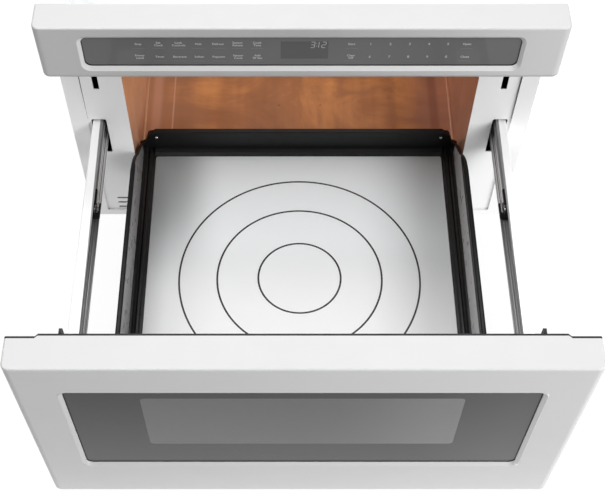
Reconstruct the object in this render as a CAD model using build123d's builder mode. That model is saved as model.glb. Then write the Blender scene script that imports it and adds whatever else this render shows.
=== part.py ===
from build123d import *
import math
import os

os.makedirs("parts", exist_ok=True)

# Built-in microwave drawer oven, drawn with the drawer fully open.
# Millimetres. +X to the right, +Y into the cabinet, +Z up.
# Origin: centre of the flat underside of the chassis, on the surface it stands on.

# ---------------------------------------------------------------- driving dimensions
FRONT_W = 606.4          # width of the drawer front and of the control panel
HALF_W = FRONT_W / 2
DRAWER_Z0 = 8.0          # drawer front, bottom edge
DRAWER_H = 315.5         # drawer front, height
PANEL_Z0 = 327.1         # control panel, bottom edge
PANEL_H = 78.9           # control panel, height
PANEL_D = 39.5           # control panel, depth
TRAVEL = 386.0           # full travel of the drawer
CHASSIS_D = 554.0        # chassis depth behind the front flange
CHASSIS_H = 372.0
CHASSIS_HALF = 278.0
SHEET = 1.2              # cabinet sheet
FLANGE_T = 3.0           # hemmed front flange
FLANGE_HALF = 294.5
FLANGE_H = 401.0
FLANGE_Y = 39.5          # front of the flange, behind the closed front plane
F = -CHASSIS_D / 2 - FLANGE_T - FLANGE_Y    # front plane of the closed drawer
D = F - TRAVEL                              # the same plane with the drawer open
M = F - TRAVEL / 2                          # frame of the middle slide members when open
Q1 = F - TRAVEL * 0.25                      # frame of the inner ball cages when open
Q3 = F - TRAVEL * 0.75                      # frame of the outer ball cages when open

CORNER_R = 9.0           # rounded upright edges of both fronts
FACE_T = 4.0             # front skin of both fronts
BEVEL_D = 3.5            # depth of the bevel round each glass
GLASS_T = 4.0
GLASS_HALF = 251.0       # visible glass, half width
GLASS_Z = (86.5, 269.6)      # visible door glass
PGLASS_Z = (343.4, 388.7)    # visible control glass
WINDOW_HALF = 171.5
WINDOW_Z = (137.8, 252.4)

CAV_HALF = 221.0         # oven cavity, inside
CAV_Z0, CAV_Z1 = 78.0, 285.0
CAV_Y1 = 504.0
WALL_IN = 213.0          # drawer side walls, inside face
WALL_OUT = 219.0
WALL_TOP = 167.0
BOX_Z0 = 81.0            # underside of the drawer box
TRAY_Z = 98.0            # top of the ceramic floor
BOX_REAR = 464.0         # inside face of the drawer's rear wall, closed
REAR_T = 8.0
REAR_TOP = 135.0

RAIL_Z = 200.5           # top of the drawer rails
RAIL_IN, RAIL_OUT = 254.0, 267.2

MODULE = 1.5             # rack and pinion
TEETH = 14
PITCH_R = MODULE * TEETH / 2
PITCH_Z = 43.3
PINION_Y = F + 64.0
PINION_Z = PITCH_Z - PITCH_R - 0.12

STIR_Y = F + 275.0
FAN_X, FAN_Z = -170.0, 84.0


def at_y(y):
    """Upright plane at y, local x = +X, local y = +Z; a negative extrude goes towards +Y."""
    return Plane.XZ.offset(-y)


def block(x0, x1, y0, y1, z0, z1, mode=Mode.ADD):
    """Box between two corners, in the part that is being built."""
    with Locations(((x0 + x1) / 2, (y0 + y1) / 2, (z0 + z1) / 2)):
        Box(abs(x1 - x0), abs(y1 - y0), abs(z1 - z0), mode=mode)


def rod_y(x, z, y0, y1, r, mode=Mode.ADD):
    """Cylinder along Y."""
    with Locations(Location((x, (y0 + y1) / 2, z), (90, 0, 0))):
        Cylinder(r, abs(y1 - y0), mode=mode)


def rod_x(y, z, x0, x1, r, mode=Mode.ADD):
    """Cylinder along X."""
    with Locations(Location(((x0 + x1) / 2, y, z), (0, 90, 0))):
        Cylinder(r, abs(x1 - x0), mode=mode)


def rod_z(x, y, z0, z1, r, mode=Mode.ADD):
    """Cylinder along Z."""
    with Locations((x, y, (z0 + z1) / 2)):
        Cylinder(r, abs(z1 - z0), mode=mode)


# ================================================================ chassis
# Outer flange that laps the cabinet's face, hemmed to 3 mm, four screw holes. Its top band closes the back of the control panel.
with BuildPart() as front_flange:
    with BuildSketch(at_y(F + FLANGE_Y)):
        with Locations((0, FLANGE_H / 2)):
            RectangleRounded(2 * FLANGE_HALF, FLANGE_H, 2.5)
        with Locations((0, (9.5 + 366) / 2)):
            RectangleRounded(546, 366 - 9.5, 4, mode=Mode.SUBTRACT)
        with Locations((-286, 48), (286, 48), (-286, 306), (286, 306)):
            Circle(2.5, mode=Mode.SUBTRACT)
    extrude(amount=-FLANGE_T)
front_flange.part.label = "front_flange"
export_step(front_flange.part, "parts/front_flange.step")

# Face plate behind the flange: cavity mouth, latch slots, rail cut-outs, rack window, intake louvres.
with BuildPart() as face_plate:
    with BuildSketch(at_y(F + FLANGE_Y + FLANGE_T)):
        with Locations((0, (CHASSIS_H - SHEET) / 2)):
            Rectangle(2 * (CHASSIS_HALF - SHEET), CHASSIS_H - SHEET)
        with Locations((0, (79 + 284) / 2)):
            RectangleRounded(440.6, 284 - 79, 3, mode=Mode.SUBTRACT)
        for s in (-1, 1):
            with Locations((s * 253.7, (260.6 + 298) / 2)):
                RectangleRounded(7.4, 37.4, 1.2, mode=Mode.SUBTRACT)
            with Locations((s * 259.25, (138 + 204) / 2)):
                RectangleRounded(19.5, 204 - 138, 2.5, mode=Mode.SUBTRACT)
            with Locations((s * 270.6, 176.5)):
                Circle(1.5, mode=Mode.SUBTRACT)
        with Locations((0, 50)):
            RectangleRounded(24, 24, 2, mode=Mode.SUBTRACT)
        with Locations((-158, 15.0), (-158, 25.3), (-158, 35.6)):
            SlotOverall(197, 3.4, mode=Mode.SUBTRACT)
        with Locations((-150, 350)):
            Circle(8, mode=Mode.SUBTRACT)
    extrude(amount=-SHEET)
face_plate.part.label = "face_plate"
export_step(face_plate.part, "parts/face_plate.step")

Y0 = F + FLANGE_Y + FLANGE_T + SHEET        # back of the face plate
Y1 = F + FLANGE_Y + FLANGE_T + CHASSIS_D    # back of the chassis

# Base pan with upturned sides.
with BuildPart() as base_pan:
    block(-276.8, 276.8, Y0, Y1, 0, SHEET)
    for s in (-1, 1):
        block(s * 275.6, s * 276.8, Y0, Y1, SHEET, 16)
    with Locations((-230, Y0 + 60), (230, Y0 + 60), (-230, Y1 - 60), (230, Y1 - 60)):
        Hole(3.5)
base_pan.part.label = "base_pan"
export_step(base_pan.part, "parts/base_pan.step")

# One-piece outer case: two sides and the top, with vent slots.
with BuildPart() as outer_wrap:
    with BuildSketch(at_y(Y0 - SHEET)):
        with BuildLine():
            Polyline((-278, 0), (-278, 372), (278, 372), (278, 0), (276.8, 0), (276.8, 370.8), (-276.8, 370.8), (-276.8, 0), close=True)
        make_face()
    extrude(amount=-CHASSIS_D)
    with BuildSketch(Plane.XY.offset(372)):
        with GridLocations(11, 0, 16, 1):
            with Locations((-150, Y1 - 75), (150, Y1 - 75)):
                SlotOverall(70, 3.2, rotation=90)
    extrude(amount=-3, mode=Mode.SUBTRACT)
    with BuildSketch(Plane.YZ.offset(-280)):
        with Locations((Y1 - 120, 250)):
            with GridLocations(11, 0, 14, 1):
                SlotOverall(60, 3.2, rotation=90)
    extrude(amount=560, mode=Mode.SUBTRACT)
outer_wrap.part.label = "outer_wrap"
export_step(outer_wrap.part, "parts/outer_wrap.step")

# Back panel with vents and the hole of the supply entry.
with BuildPart() as back_panel:
    with BuildSketch(at_y(Y1 - SHEET)):
        with Locations((0, (SHEET + 370.8) / 2)):
            Rectangle(2 * 275.6, 370.8 - SHEET)
        with Locations((-200, 330)):
            Circle(11, mode=Mode.SUBTRACT)
        with Locations((FAN_X, FAN_Z)):
            with GridLocations(0, 9, 1, 11):
                SlotOverall(100, 3.4, mode=Mode.SUBTRACT)
        with Locations((0, 328)):
            with GridLocations(0, 9, 1, 7):
                SlotOverall(90, 3.4, mode=Mode.SUBTRACT)
    extrude(amount=-SHEET)
back_panel.part.label = "back_panel"
export_step(back_panel.part, "parts/back_panel.step")

# Oven cavity: deep-drawn box, open at the front, folded bend along the floor.
with BuildPart() as oven_cavity:
    with BuildSketch(at_y(Y0)):
        with Locations((0, (CAV_Z0 + CAV_Z1) / 2)):
            RectangleRounded(2 * CAV_HALF + 2, CAV_Z1 - CAV_Z0 + 2, 5)
    extrude(amount=-(F + CAV_Y1 + 1 - Y0))
    with BuildSketch(at_y(Y0)):
        with Locations((0, (CAV_Z0 + CAV_Z1) / 2)):
            RectangleRounded(2 * CAV_HALF, CAV_Z1 - CAV_Z0, 4)
    extrude(amount=-(F + CAV_Y1 - Y0), mode=Mode.SUBTRACT)
    rod_z(0, STIR_Y, CAV_Z1 - 1, CAV_Z1 + 3, 80, mode=Mode.SUBTRACT)
    rod_x(F + 220, 255, 219, 224, 8, mode=Mode.SUBTRACT)
oven_cavity.part.label = "oven_cavity"
export_step(oven_cavity.part, "parts/oven_cavity.step")

# Cavity lamp on the right wall.
with BuildPart() as cavity_lamp:
    block(222, 240, F + 205, F + 235, 240, 270)
    rod_x(F + 220, 255, 216.5, 222.5, 7)
    fillet(cavity_lamp.edges().filter_by(GeomType.CIRCLE).sort_by(Axis.X)[0], 2)
cavity_lamp.part.label = "cavity_lamp"
export_step(cavity_lamp.part, "parts/cavity_lamp.step")

# Mode stirrer: pan above the ceiling, cover below it, motor and wheel.
with BuildPart() as stirrer_housing:
    rod_z(0, STIR_Y, 286, 308, 86)
    rod_z(0, STIR_Y, 285, 307, 84.8, mode=Mode.SUBTRACT)
    rod_z(0, STIR_Y, 306, 309, 3.4, mode=Mode.SUBTRACT)
    block(-36, 36, F + 306, F + 336, 306, 309, mode=Mode.SUBTRACT)
stirrer_housing.part.label = "stirrer_housing"
export_step(stirrer_housing.part, "parts/stirrer_housing.step")

with BuildPart() as stirrer_cover:
    rod_z(0, STIR_Y, CAV_Z1 - 1, CAV_Z1, 92)
    with Locations((0, STIR_Y, CAV_Z1 - 0.5)):
        with PolarLocations(88, 6):
            Cylinder(2, 1, mode=Mode.SUBTRACT)
stirrer_cover.part.label = "stirrer_cover"
export_step(stirrer_cover.part, "parts/stirrer_cover.step")

with BuildPart() as stirrer_motor:
    rod_z(0, STIR_Y, 308, 328, 24)
    rod_z(0, STIR_Y, 307, 319, 3.1, mode=Mode.SUBTRACT)
    block(-38, 38, STIR_Y - 6, STIR_Y + 6, 308, 310)
    rod_z(0, STIR_Y, 308, 319, 3.1, mode=Mode.SUBTRACT)
    with Locations((-32, STIR_Y, 309), (32, STIR_Y, 309)):
        Cylinder(2, 4, mode=Mode.SUBTRACT)
stirrer_motor.part.label = "stirrer_motor"
export_step(stirrer_motor.part, "parts/stirrer_motor.step")

with BuildPart() as stirrer_wheel:
    rod_z(0, STIR_Y, 290, 302, 9)
    rod_z(0, STIR_Y, 301, 318, 3)
    for k in range(3):
        with Locations(Location((0, STIR_Y, 293), (0, 0, 120 * k))):
            with Locations(Location((36, 0, 0), (12, 0, 0))):
                Box(60, 24, 1.0)
stirrer_wheel.part.label = "stirrer_wheel"
export_step(stirrer_wheel.part, "parts/stirrer_wheel.step")

# Waveguide from the magnetron to the stirrer pan.
with BuildPart() as waveguide:
    block(-42, 42, F + 302, F + 507, 308, 348)
    block(-40.8, 40.8, F + 303.2, F + 505.8, 309.2, 346.8, mode=Mode.SUBTRACT)
    block(-36, 36, F + 306, F + 336, 307, 310, mode=Mode.SUBTRACT)
    rod_y(0, 328, F + 504, F + 509, 9, mode=Mode.SUBTRACT)
waveguide.part.label = "waveguide"
export_step(waveguide.part, "parts/waveguide.step")

# Magnetron: yoke, anode block with cooling fins, antenna, filter box.
with BuildPart() as magnetron:
    block(-46, 46, F + 507, F + 570, 290, 366)
    block(-50, 50, F + 509, F + 568, 292, 364, mode=Mode.SUBTRACT)
    rod_y(0, 328, F + 508, F + 569, 20)
    for k in range(7):
        block(-40, 40, F + 516 + 7 * k, F + 516.8 + 7 * k, 291, 365)
    rod_y(0, 328, F + 484, F + 508, 7.5)
    fillet(magnetron.edges().filter_by(GeomType.CIRCLE).sort_by(Axis.Y)[0], 3)
    block(-30, 30, F + 570, F + 592, 300, 356)
magnetron.part.label = "magnetron"
export_step(magnetron.part, "parts/magnetron.step")

# High-voltage transformer: laminated core and wound coils.
with BuildPart() as transformer_core:
    block(120, 230, F + 527, F + 577, 9, 94)
    block(141.5, 162, F + 520, F + 580, 27, 76, mode=Mode.SUBTRACT)
    block(188, 208.5, F + 520, F + 580, 27, 76, mode=Mode.SUBTRACT)
    block(114, 236, F + 530, F + 574, SHEET, 9)
transformer_core.part.label = "transformer_core"
export_step(transformer_core.part, "parts/transformer_core.step")

with BuildPart() as transformer_coils:
    for z0, z1 in ((28, 50), (53, 75)):
        with BuildSketch(Plane.XY.offset(z0)):
            with Locations((175, F + 552)):
                RectangleRounded(65, 74, 8)
                Rectangle(26.4, 50.4, mode=Mode.SUBTRACT)
        extrude(amount=z1 - z0)
transformer_coils.part.label = "transformer_coils"
export_step(transformer_coils.part, "parts/transformer_coils.step")

# High-voltage capacitor, an upright obround can with two tabs.
with BuildPart() as capacitor:
    with BuildSketch(Plane.XY.offset(SHEET)):
        with Locations((60, F + 548)):
            SlotOverall(58, 36)
    extrude(amount=88)
    fillet(capacitor.faces().sort_by(Axis.Z)[-1].edges(), 3)
    block(48, 54, F + 547.6, F + 548.4, SHEET + 86, SHEET + 98)
    block(66, 72, F + 547.6, F + 548.4, SHEET + 86, SHEET + 98)
capacitor.part.label = "capacitor"
export_step(capacitor.part, "parts/capacitor.step")

# Cooling fan: housing, motor on a cross bar, seven-blade wheel.
with BuildPart() as fan_housing:
    block(FAN_X - 62, FAN_X + 62, F + 512, F + 538, SHEET, 148)
    rod_y(FAN_X, FAN_Z, F + 500, F + 545, 57, mode=Mode.SUBTRACT)
fan_housing.part.label = "fan_housing"
export_step(fan_housing.part, "parts/fan_housing.step")

with BuildPart() as fan_motor:
    rod_y(FAN_X, FAN_Z, F + 540, F + 566, 20)
    block(FAN_X - 61, FAN_X + 61, F + 538, F + 540, FAN_Z - 8, FAN_Z + 8)
    rod_y(FAN_X, FAN_Z, F + 537, F + 552, 2.6, mode=Mode.SUBTRACT)
fan_motor.part.label = "fan_motor"
export_step(fan_motor.part, "parts/fan_motor.step")

with BuildPart() as fan_wheel:
    rod_y(FAN_X, FAN_Z, F + 514, F + 535, 16)
    rod_y(FAN_X, FAN_Z, F + 534, F + 550, 2.5)
    for k in range(7):
        with Locations(Location((FAN_X, F + 524.5, FAN_Z), (0, 360 / 7 * k, 0))):
            with Locations(Location((34, 0, 0), (32, 0, 0))):
                Box(40, 1.4, 25)
fan_wheel.part.label = "fan_wheel"
export_step(fan_wheel.part, "parts/fan_wheel.step")

# Power and relay board on stand-offs above the cavity.
with BuildPart() as power_board:
    block(-215, -65, F + 345, F + 500, 300, 301.6)
    for x, y in ((-209, 351), (-71, 351), (-209, 494), (-71, 494)):
        rod_z(x, F + y, 286, 300.5, 3)
    block(-158, -142, F + 345, F + 356, 301, 318)
    block(-208, -180, F + 362, F + 378, 301, 321)
    block(-208, -180, F + 384, F + 400, 301, 321)
    block(-170, -130, F + 420, F + 462, 301, 333)
    rod_z(-100, F + 380, 301, 326, 9)
    rod_z(-100, F + 404, 301, 326, 9)
    block(-206, -184, F + 430, F + 474, 301, 312)
power_board.part.label = "power_board"
export_step(power_board.part, "parts/power_board.step")

# Drawer motor with its gearbox and foot; the output shaft's bore faces the rack.
with BuildPart() as drawer_motor:
    block(12, 34, F + 46, F + 98, 8, 58)
    block(8, 96, F + 48, F + 96, SHEET, 8)
    rod_x(F + 76, 36, 34, 88, 17)
    rod_x(F + 76, 36, 88, 92, 6)
    rod_x(PINION_Y, PINION_Z, 11, 24, 3.1, mode=Mode.SUBTRACT)
drawer_motor.part.label = "drawer_motor"
export_step(drawer_motor.part, "parts/drawer_motor.step")

# Drive pinion: involute teeth on a stub shaft along X.
tooth_pts = []
base_r = PITCH_R * math.cos(math.radians(20))
tip_r = PITCH_R + MODULE * 0.92
root_r = PITCH_R - MODULE * 1.25
half_tooth = math.pi / (2 * TEETH) - 0.11 / PITCH_R      # thinned for backlash
inv_p = math.tan(math.radians(20)) - math.radians(20)
for k in range(TEETH):
    c = 2 * math.pi * k / TEETH + math.pi / 2 + math.pi / TEETH
    flank = []
    for j in range(6):
        r = max(base_r, root_r) + (tip_r - max(base_r, root_r)) * j / 5
        a = math.acos(min(1, base_r / r))
        flank.append((r, half_tooth + inv_p - (math.tan(a) - a)))
    tooth_pts.append((root_r, c - flank[0][1] - 0.02))
    tooth_pts += [(r, c - w) for r, w in flank]
    tooth_pts += [(r, c + w) for r, w in reversed(flank)]
    tooth_pts.append((root_r, c + flank[0][1] + 0.02))
with BuildPart() as drive_pinion:
    with BuildSketch(Plane.YZ.offset(-6)):
        with BuildLine():
            Polyline(*[(PINION_Y + r * math.cos(a), PINION_Z + r * math.sin(a)) for r, a in tooth_pts], close=True)
        make_face()
    extrude(amount=12)
    rod_x(PINION_Y, PINION_Z, -9, 22, 3)
drive_pinion.part.label = "drive_pinion"
export_step(drive_pinion.part, "parts/drive_pinion.step")

# Safety switches behind the latch slots, each on a small bracket, and their plungers.
with BuildPart() as interlock_switches:
    for s in (-1, 1):
        block(s * 245, s * 262, F + 69, F + 95, 268, 296)
        block(s * 262, s * 263.2, Y0, F + 95, 264, 298)
        rod_y(s * 253.7, 281.5, F + 68, F + 79, 2.15, mode=Mode.SUBTRACT)
        for z in (273, 291):
            block(s * 248, s * 250, F + 95, F + 103, z - 3, z + 3)
interlock_switches.part.label = "interlock_switches"
export_step(interlock_switches.part, "parts/interlock_switches.step")

with BuildPart() as interlock_plunger_left:
    rod_y(-253.7, 281.5, F + 67.4, F + 76, 2)
    fillet(interlock_plunger_left.edges().filter_by(GeomType.CIRCLE).sort_by(Axis.Y)[0], 0.8)
interlock_plunger_left.part.label = "interlock_plunger_left"
export_step(interlock_plunger_left.part, "parts/interlock_plunger_left.step")

with BuildPart() as interlock_plunger_right:
    rod_y(253.7, 281.5, F + 67.4, F + 76, 2)
    fillet(interlock_plunger_right.edges().filter_by(GeomType.CIRCLE).sort_by(Axis.Y)[0], 0.8)
interlock_plunger_right.part.label = "interlock_plunger_right"
export_step(interlock_plunger_right.part, "parts/interlock_plunger_right.step")

# Supply entry in the back panel: flanged bushing and its nut.
with BuildPart() as cord_gland:
    rod_y(-200, 330, Y1, Y1 + 3.5, 16)
    rod_y(-200, 330, Y1 - 12, Y1, 10.8)
    with BuildSketch(at_y(Y1 - SHEET - 5)):
        with Locations((-200, 330)):
            RegularPolygon(15, 6)
    extrude(amount=-5)
    rod_y(-200, 330, Y1 - 13, Y1 + 4, 5, mode=Mode.SUBTRACT)
cord_gland.part.label = "cord_gland"
export_step(cord_gland.part, "parts/cord_gland.step")

# Case screws on the back panel.
with BuildPart() as cabinet_screws:
    for x in (-266, -90, 90, 266):
        for z in (10, 362):
            rod_y(x, z, Y1, Y1 + 2.0, 3.6)
    for x in (-266, 266):
        rod_y(x, 186, Y1, Y1 + 2.0, 3.6)
    fillet(cabinet_screws.edges().filter_by(GeomType.CIRCLE).group_by(Axis.Y)[-1], 0.8)
cabinet_screws.part.label = "cabinet_screws"
export_step(cabinet_screws.part, "parts/cabinet_screws.step")

# ================================================================ control panel
with BuildPart() as control_fascia:
    with BuildSketch(Plane.XY.offset(PANEL_Z0)) as s:
        with BuildLine():
            Polyline((-HALF_W, F), (HALF_W, F), (HALF_W, F + PANEL_D), (-HALF_W, F + PANEL_D), close=True)
        make_face()
        fillet(s.vertices().group_by(Axis.Y)[0], CORNER_R)
    extrude(amount=PANEL_H)
    top = control_fascia.faces().sort_by(Axis.Z)[-1].edges().filter_by(lambda e: e.center().Y < F + PANEL_D - 0.1)
    low = control_fascia.faces().sort_by(Axis.Z)[0].edges().filter_by(lambda e: e.center().Y < F + PANEL_D - 0.1)
    fillet(top, 2.4)
    fillet(low, 3.5)
    # hollow behind the front skin
    block(-300.2, 300.2, F + FACE_T, F + PANEL_D + 1, PANEL_Z0 + 3, PANEL_Z0 + PANEL_H - 3, mode=Mode.SUBTRACT)
    # bevelled opening for the glass
    with BuildSketch(at_y(F)):
        with Locations((0, (PGLASS_Z[0] + PGLASS_Z[1]) / 2)):
            RectangleRounded(2 * GLASS_HALF + 8, PGLASS_Z[1] - PGLASS_Z[0] + 10, 11)
    with BuildSketch(at_y(F + BEVEL_D)):
        with Locations((0, (PGLASS_Z[0] + PGLASS_Z[1]) / 2)):
            RectangleRounded(2 * GLASS_HALF, PGLASS_Z[1] - PGLASS_Z[0], 7.5)
    loft(mode=Mode.SUBTRACT)
    with BuildSketch(at_y(F + BEVEL_D)):
        with Locations((0, (PGLASS_Z[0] + PGLASS_Z[1]) / 2)):
            RectangleRounded(2 * GLASS_HALF, PGLASS_Z[1] - PGLASS_Z[0], 7.5)
    extrude(amount=-1, mode=Mode.SUBTRACT)
    # posts for the board
    for x in (-270, 270):
        for z in (342, 391):
            rod_y(x, z, F + FACE_T - 0.5, F + 18, 3.5)
control_fascia.part.label = "control_fascia"
export_step(control_fascia.part, "parts/control_fascia.step")

with BuildPart() as control_glass:
    with BuildSketch(at_y(F + FACE_T)):
        with Locations((0, 366)):
            RectangleRounded(524, 58, 8)
    extrude(amount=-GLASS_T)
control_glass.part.label = "control_glass"
export_step(control_glass.part, "parts/control_glass.step")

# Control board with the display module, key sensor blocks and connectors.
with BuildPart() as control_board:
    block(-276, 276, F + 18, F + 19.6, 337, 396)
    block(-25, 42, F + 8, F + 18.5, 352, 386)
    block(-196, -36, F + 8, F + 18.5, 350, 384)
    block(52, 206, F + 8, F + 18.5, 350, 384)
    block(-160, -140, F + 19, F + 27, 343, 357)
    block(30, 48, F + 19, F + 22, 360, 378)
    block(-60, -20, F + 19, F + 26, 340, 352)
control_board.part.label = "control_board"
export_step(control_board.part, "parts/control_board.step")

# Wire loom between the two boards, tied along a straight run.
with BuildPart() as wiring_harness:
    with BuildLine() as loom:
        FilletPolyline((-150, F + 27, 350), (-150, F + 150, 350), (-150, F + 245, 311), (-150, F + 345, 311), radius=(120, 120))
    with BuildSketch(at_y(F + 27)):
        with Locations((-150, 350)):
            Circle(4)
    sweep()
wiring_harness.part.label = "wiring_harness"
export_step(wiring_harness.part, "parts/wiring_harness.step")

# ================================================================ telescopic slides
# Two upright brackets on the base pan, tied to the cavity's walls by three tabs each.
with BuildPart() as slide_brackets:
    for s in (-1, 1):
        block(s * 248.2, s * 250, F + 56, F + 520, SHEET, 205)
        block(s * 250, s * 263, F + 56, F + 520, SHEET, SHEET + 1.6)
        for y in (110, 260, 410):
            block(s * 222, s * 248.2, F + y, F + y + 40, 203.4, 205)
slide_brackets.part.label = "slide_brackets"
export_step(slide_brackets.part, "parts/slide_brackets.step")

# From here on the right-hand piece is drawn and the left-hand one is its mirror image.
with BuildPart() as slide_fixed_right:
    block(250, 251.5, F + 60, F + 500, 164.9, 189.1)
    block(251.5, 257.5, F + 60, F + 500, 187.6, 189.1)
    block(251.5, 257.5, F + 60, F + 500, 164.9, 166.4)
slide_fixed_right.part.label = "slide_fixed_right"
export_step(slide_fixed_right.part, "parts/slide_fixed_right.step")

with BuildPart() as slide_fixed_left:
    mirror(slide_fixed_right.part, about=Plane.YZ)
slide_fixed_left.part.label = "slide_fixed_left"
export_step(slide_fixed_left.part, "parts/slide_fixed_left.step")

# Middle member: channel with a pressed rib along its web.
with BuildPart() as slide_middle_right:
    with BuildSketch(at_y(M + 131)):
        with BuildLine():
            Polyline((252.5, 194.0), (261.1, 194.0), (261.1, 182.5), (260.3, 180.5), (260.3, 173.5), (261.1, 171.5), (261.1, 160.0),
                     (252.5, 160.0), (252.5, 161.5), (259.6, 161.5), (259.6, 171.2), (258.7, 173.3), (258.7, 180.7), (259.6, 182.8),
                     (259.6, 192.5), (252.5, 192.5), close=True)
        make_face()
    extrude(amount=-369)
slide_middle_right.part.label = "slide_middle_right"
export_step(slide_middle_right.part, "parts/slide_middle_right.step")

with BuildPart() as slide_middle_left:
    mirror(slide_middle_right.part, about=Plane.YZ)
slide_middle_left.part.label = "slide_middle_left"
export_step(slide_middle_left.part, "parts/slide_middle_left.step")

# Plastic end stop on the front of the middle member.
with BuildPart() as slide_stop_right:
    with BuildSketch(at_y(M + 109)):
        with BuildLine():
            Polyline((252.6, 193.8), (263.4, 193.8), (263.4, 160.2), (252.6, 160.2), (252.6, 163.9), (258.1, 163.9), (258.1, 190.1), (252.6, 190.1), close=True)
        make_face()
    extrude(amount=-22)
    block(261.2, 263.4, M + 131, M + 138, 168, 186)
    chamfer(slide_stop_right.faces().sort_by(Axis.Y)[0].edges().filter_by(Axis.Z), 1.0)
slide_stop_right.part.label = "slide_stop_right"
export_step(slide_stop_right.part, "parts/slide_stop_right.step")

with BuildPart() as slide_stop_left:
    mirror(slide_stop_right.part, about=Plane.YZ)
slide_stop_left.part.label = "slide_stop_left"
export_step(slide_stop_left.part, "parts/slide_stop_left.step")

# Ball cages: an upper and a lower strip, each with its row of balls.
with BuildPart() as ball_cage_outer_right:
    for zc in (195.7, 158.3):
        block(255.6, 260.8, Q3 + 230, Q3 + 386, zc - 0.4, zc + 0.4)
        with Locations((258.2, Q3 + 308, zc)):
            with GridLocations(0, 18, 1, 8):
                Cylinder(1.8, 2, mode=Mode.SUBTRACT)
    for zc in (195.7, 158.3):
        with Locations((258.2, Q3 + 308, zc)):
            with GridLocations(0, 18, 1, 8):
                Sphere(1.6)
ball_cage_outer_right.part.label = "ball_cage_outer_right"
export_step(ball_cage_outer_right.part, "parts/ball_cage_outer_right.step")

with BuildPart() as ball_cage_outer_left:
    mirror(ball_cage_outer_right.part, about=Plane.YZ)
ball_cage_outer_left.part.label = "ball_cage_outer_left"
export_step(ball_cage_outer_left.part, "parts/ball_cage_outer_left.step")

with BuildPart() as ball_cage_inner_right:
    for zc in (190.8, 163.2):
        block(252.8, 257.4, Q1 + 170, Q1 + 390, zc - 0.4, zc + 0.4)
        with Locations((255.0, Q1 + 280, zc)):
            with GridLocations(0, 22, 1, 9):
                Cylinder(1.8, 2, mode=Mode.SUBTRACT)
    for zc in (190.8, 163.2):
        with Locations((255.0, Q1 + 280, zc)):
            with GridLocations(0, 22, 1, 9):
                Sphere(1.6)
ball_cage_inner_right.part.label = "ball_cage_inner_right"
export_step(ball_cage_inner_right.part, "parts/ball_cage_inner_right.step")

with BuildPart() as ball_cage_inner_left:
    mirror(ball_cage_inner_right.part, about=Plane.YZ)
ball_cage_inner_left.part.label = "ball_cage_inner_left"
export_step(ball_cage_inner_left.part, "parts/ball_cage_inner_left.step")

# Drawer member of each slide, carried inside the painted rail.
with BuildPart() as drawer_member_right:
    with BuildSketch(at_y(D + 44)):
        with BuildLine():
            Polyline((255.5, 199), (265.7, 199), (265.7, 155), (253.9, 155), (253.9, 156.6), (264.1, 156.6), (264.1, 197.4), (255.5, 197.4), close=True)
        make_face()
    extrude(amount=-440)
drawer_member_right.part.label = "drawer_member_right"
export_step(drawer_member_right.part, "parts/drawer_member_right.step")

with BuildPart() as drawer_member_left:
    mirror(drawer_member_right.part, about=Plane.YZ)
drawer_member_left.part.label = "drawer_member_left"
export_step(drawer_member_left.part, "parts/drawer_member_left.step")

# Painted rail: inverted L with a foot inside the drawer front.
with BuildPart() as slide_rail_right:
    with BuildSketch(at_y(D + 27)):
        with BuildLine():
            Polyline((RAIL_IN, RAIL_Z), (RAIL_OUT, RAIL_Z), (RAIL_OUT, 154), (265.7, 154), (265.7, 199), (RAIL_IN, 199), close=True)
        make_face()
    extrude(amount=-473)
    fillet(slide_rail_right.edges().filter_by(Axis.Y).filter_by(lambda e: e.center().X > 267 and e.center().Z > 200), 1.4)
    block(RAIL_IN, 287, D + 25.5, D + 27, 154, RAIL_Z)
slide_rail_right.part.label = "slide_rail_right"
export_step(slide_rail_right.part, "parts/slide_rail_right.step")

with BuildPart() as slide_rail_left:
    mirror(slide_rail_right.part, about=Plane.YZ)
slide_rail_left.part.label = "slide_rail_left"
export_step(slide_rail_left.part, "parts/slide_rail_left.step")

# ================================================================ drawer
STEP_X0, STEP_X1 = 269.5, 272.5          # the rear face steps back here
END_D, MID_D = 36.6, 39.6                # shell depth at the ends and in the middle
SEAL_T = 2.4                             # black back plate, follows the step
LIP_Z = DRAWER_Z0 + 3.5                  # below this the rear face is all at the ends' depth

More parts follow.
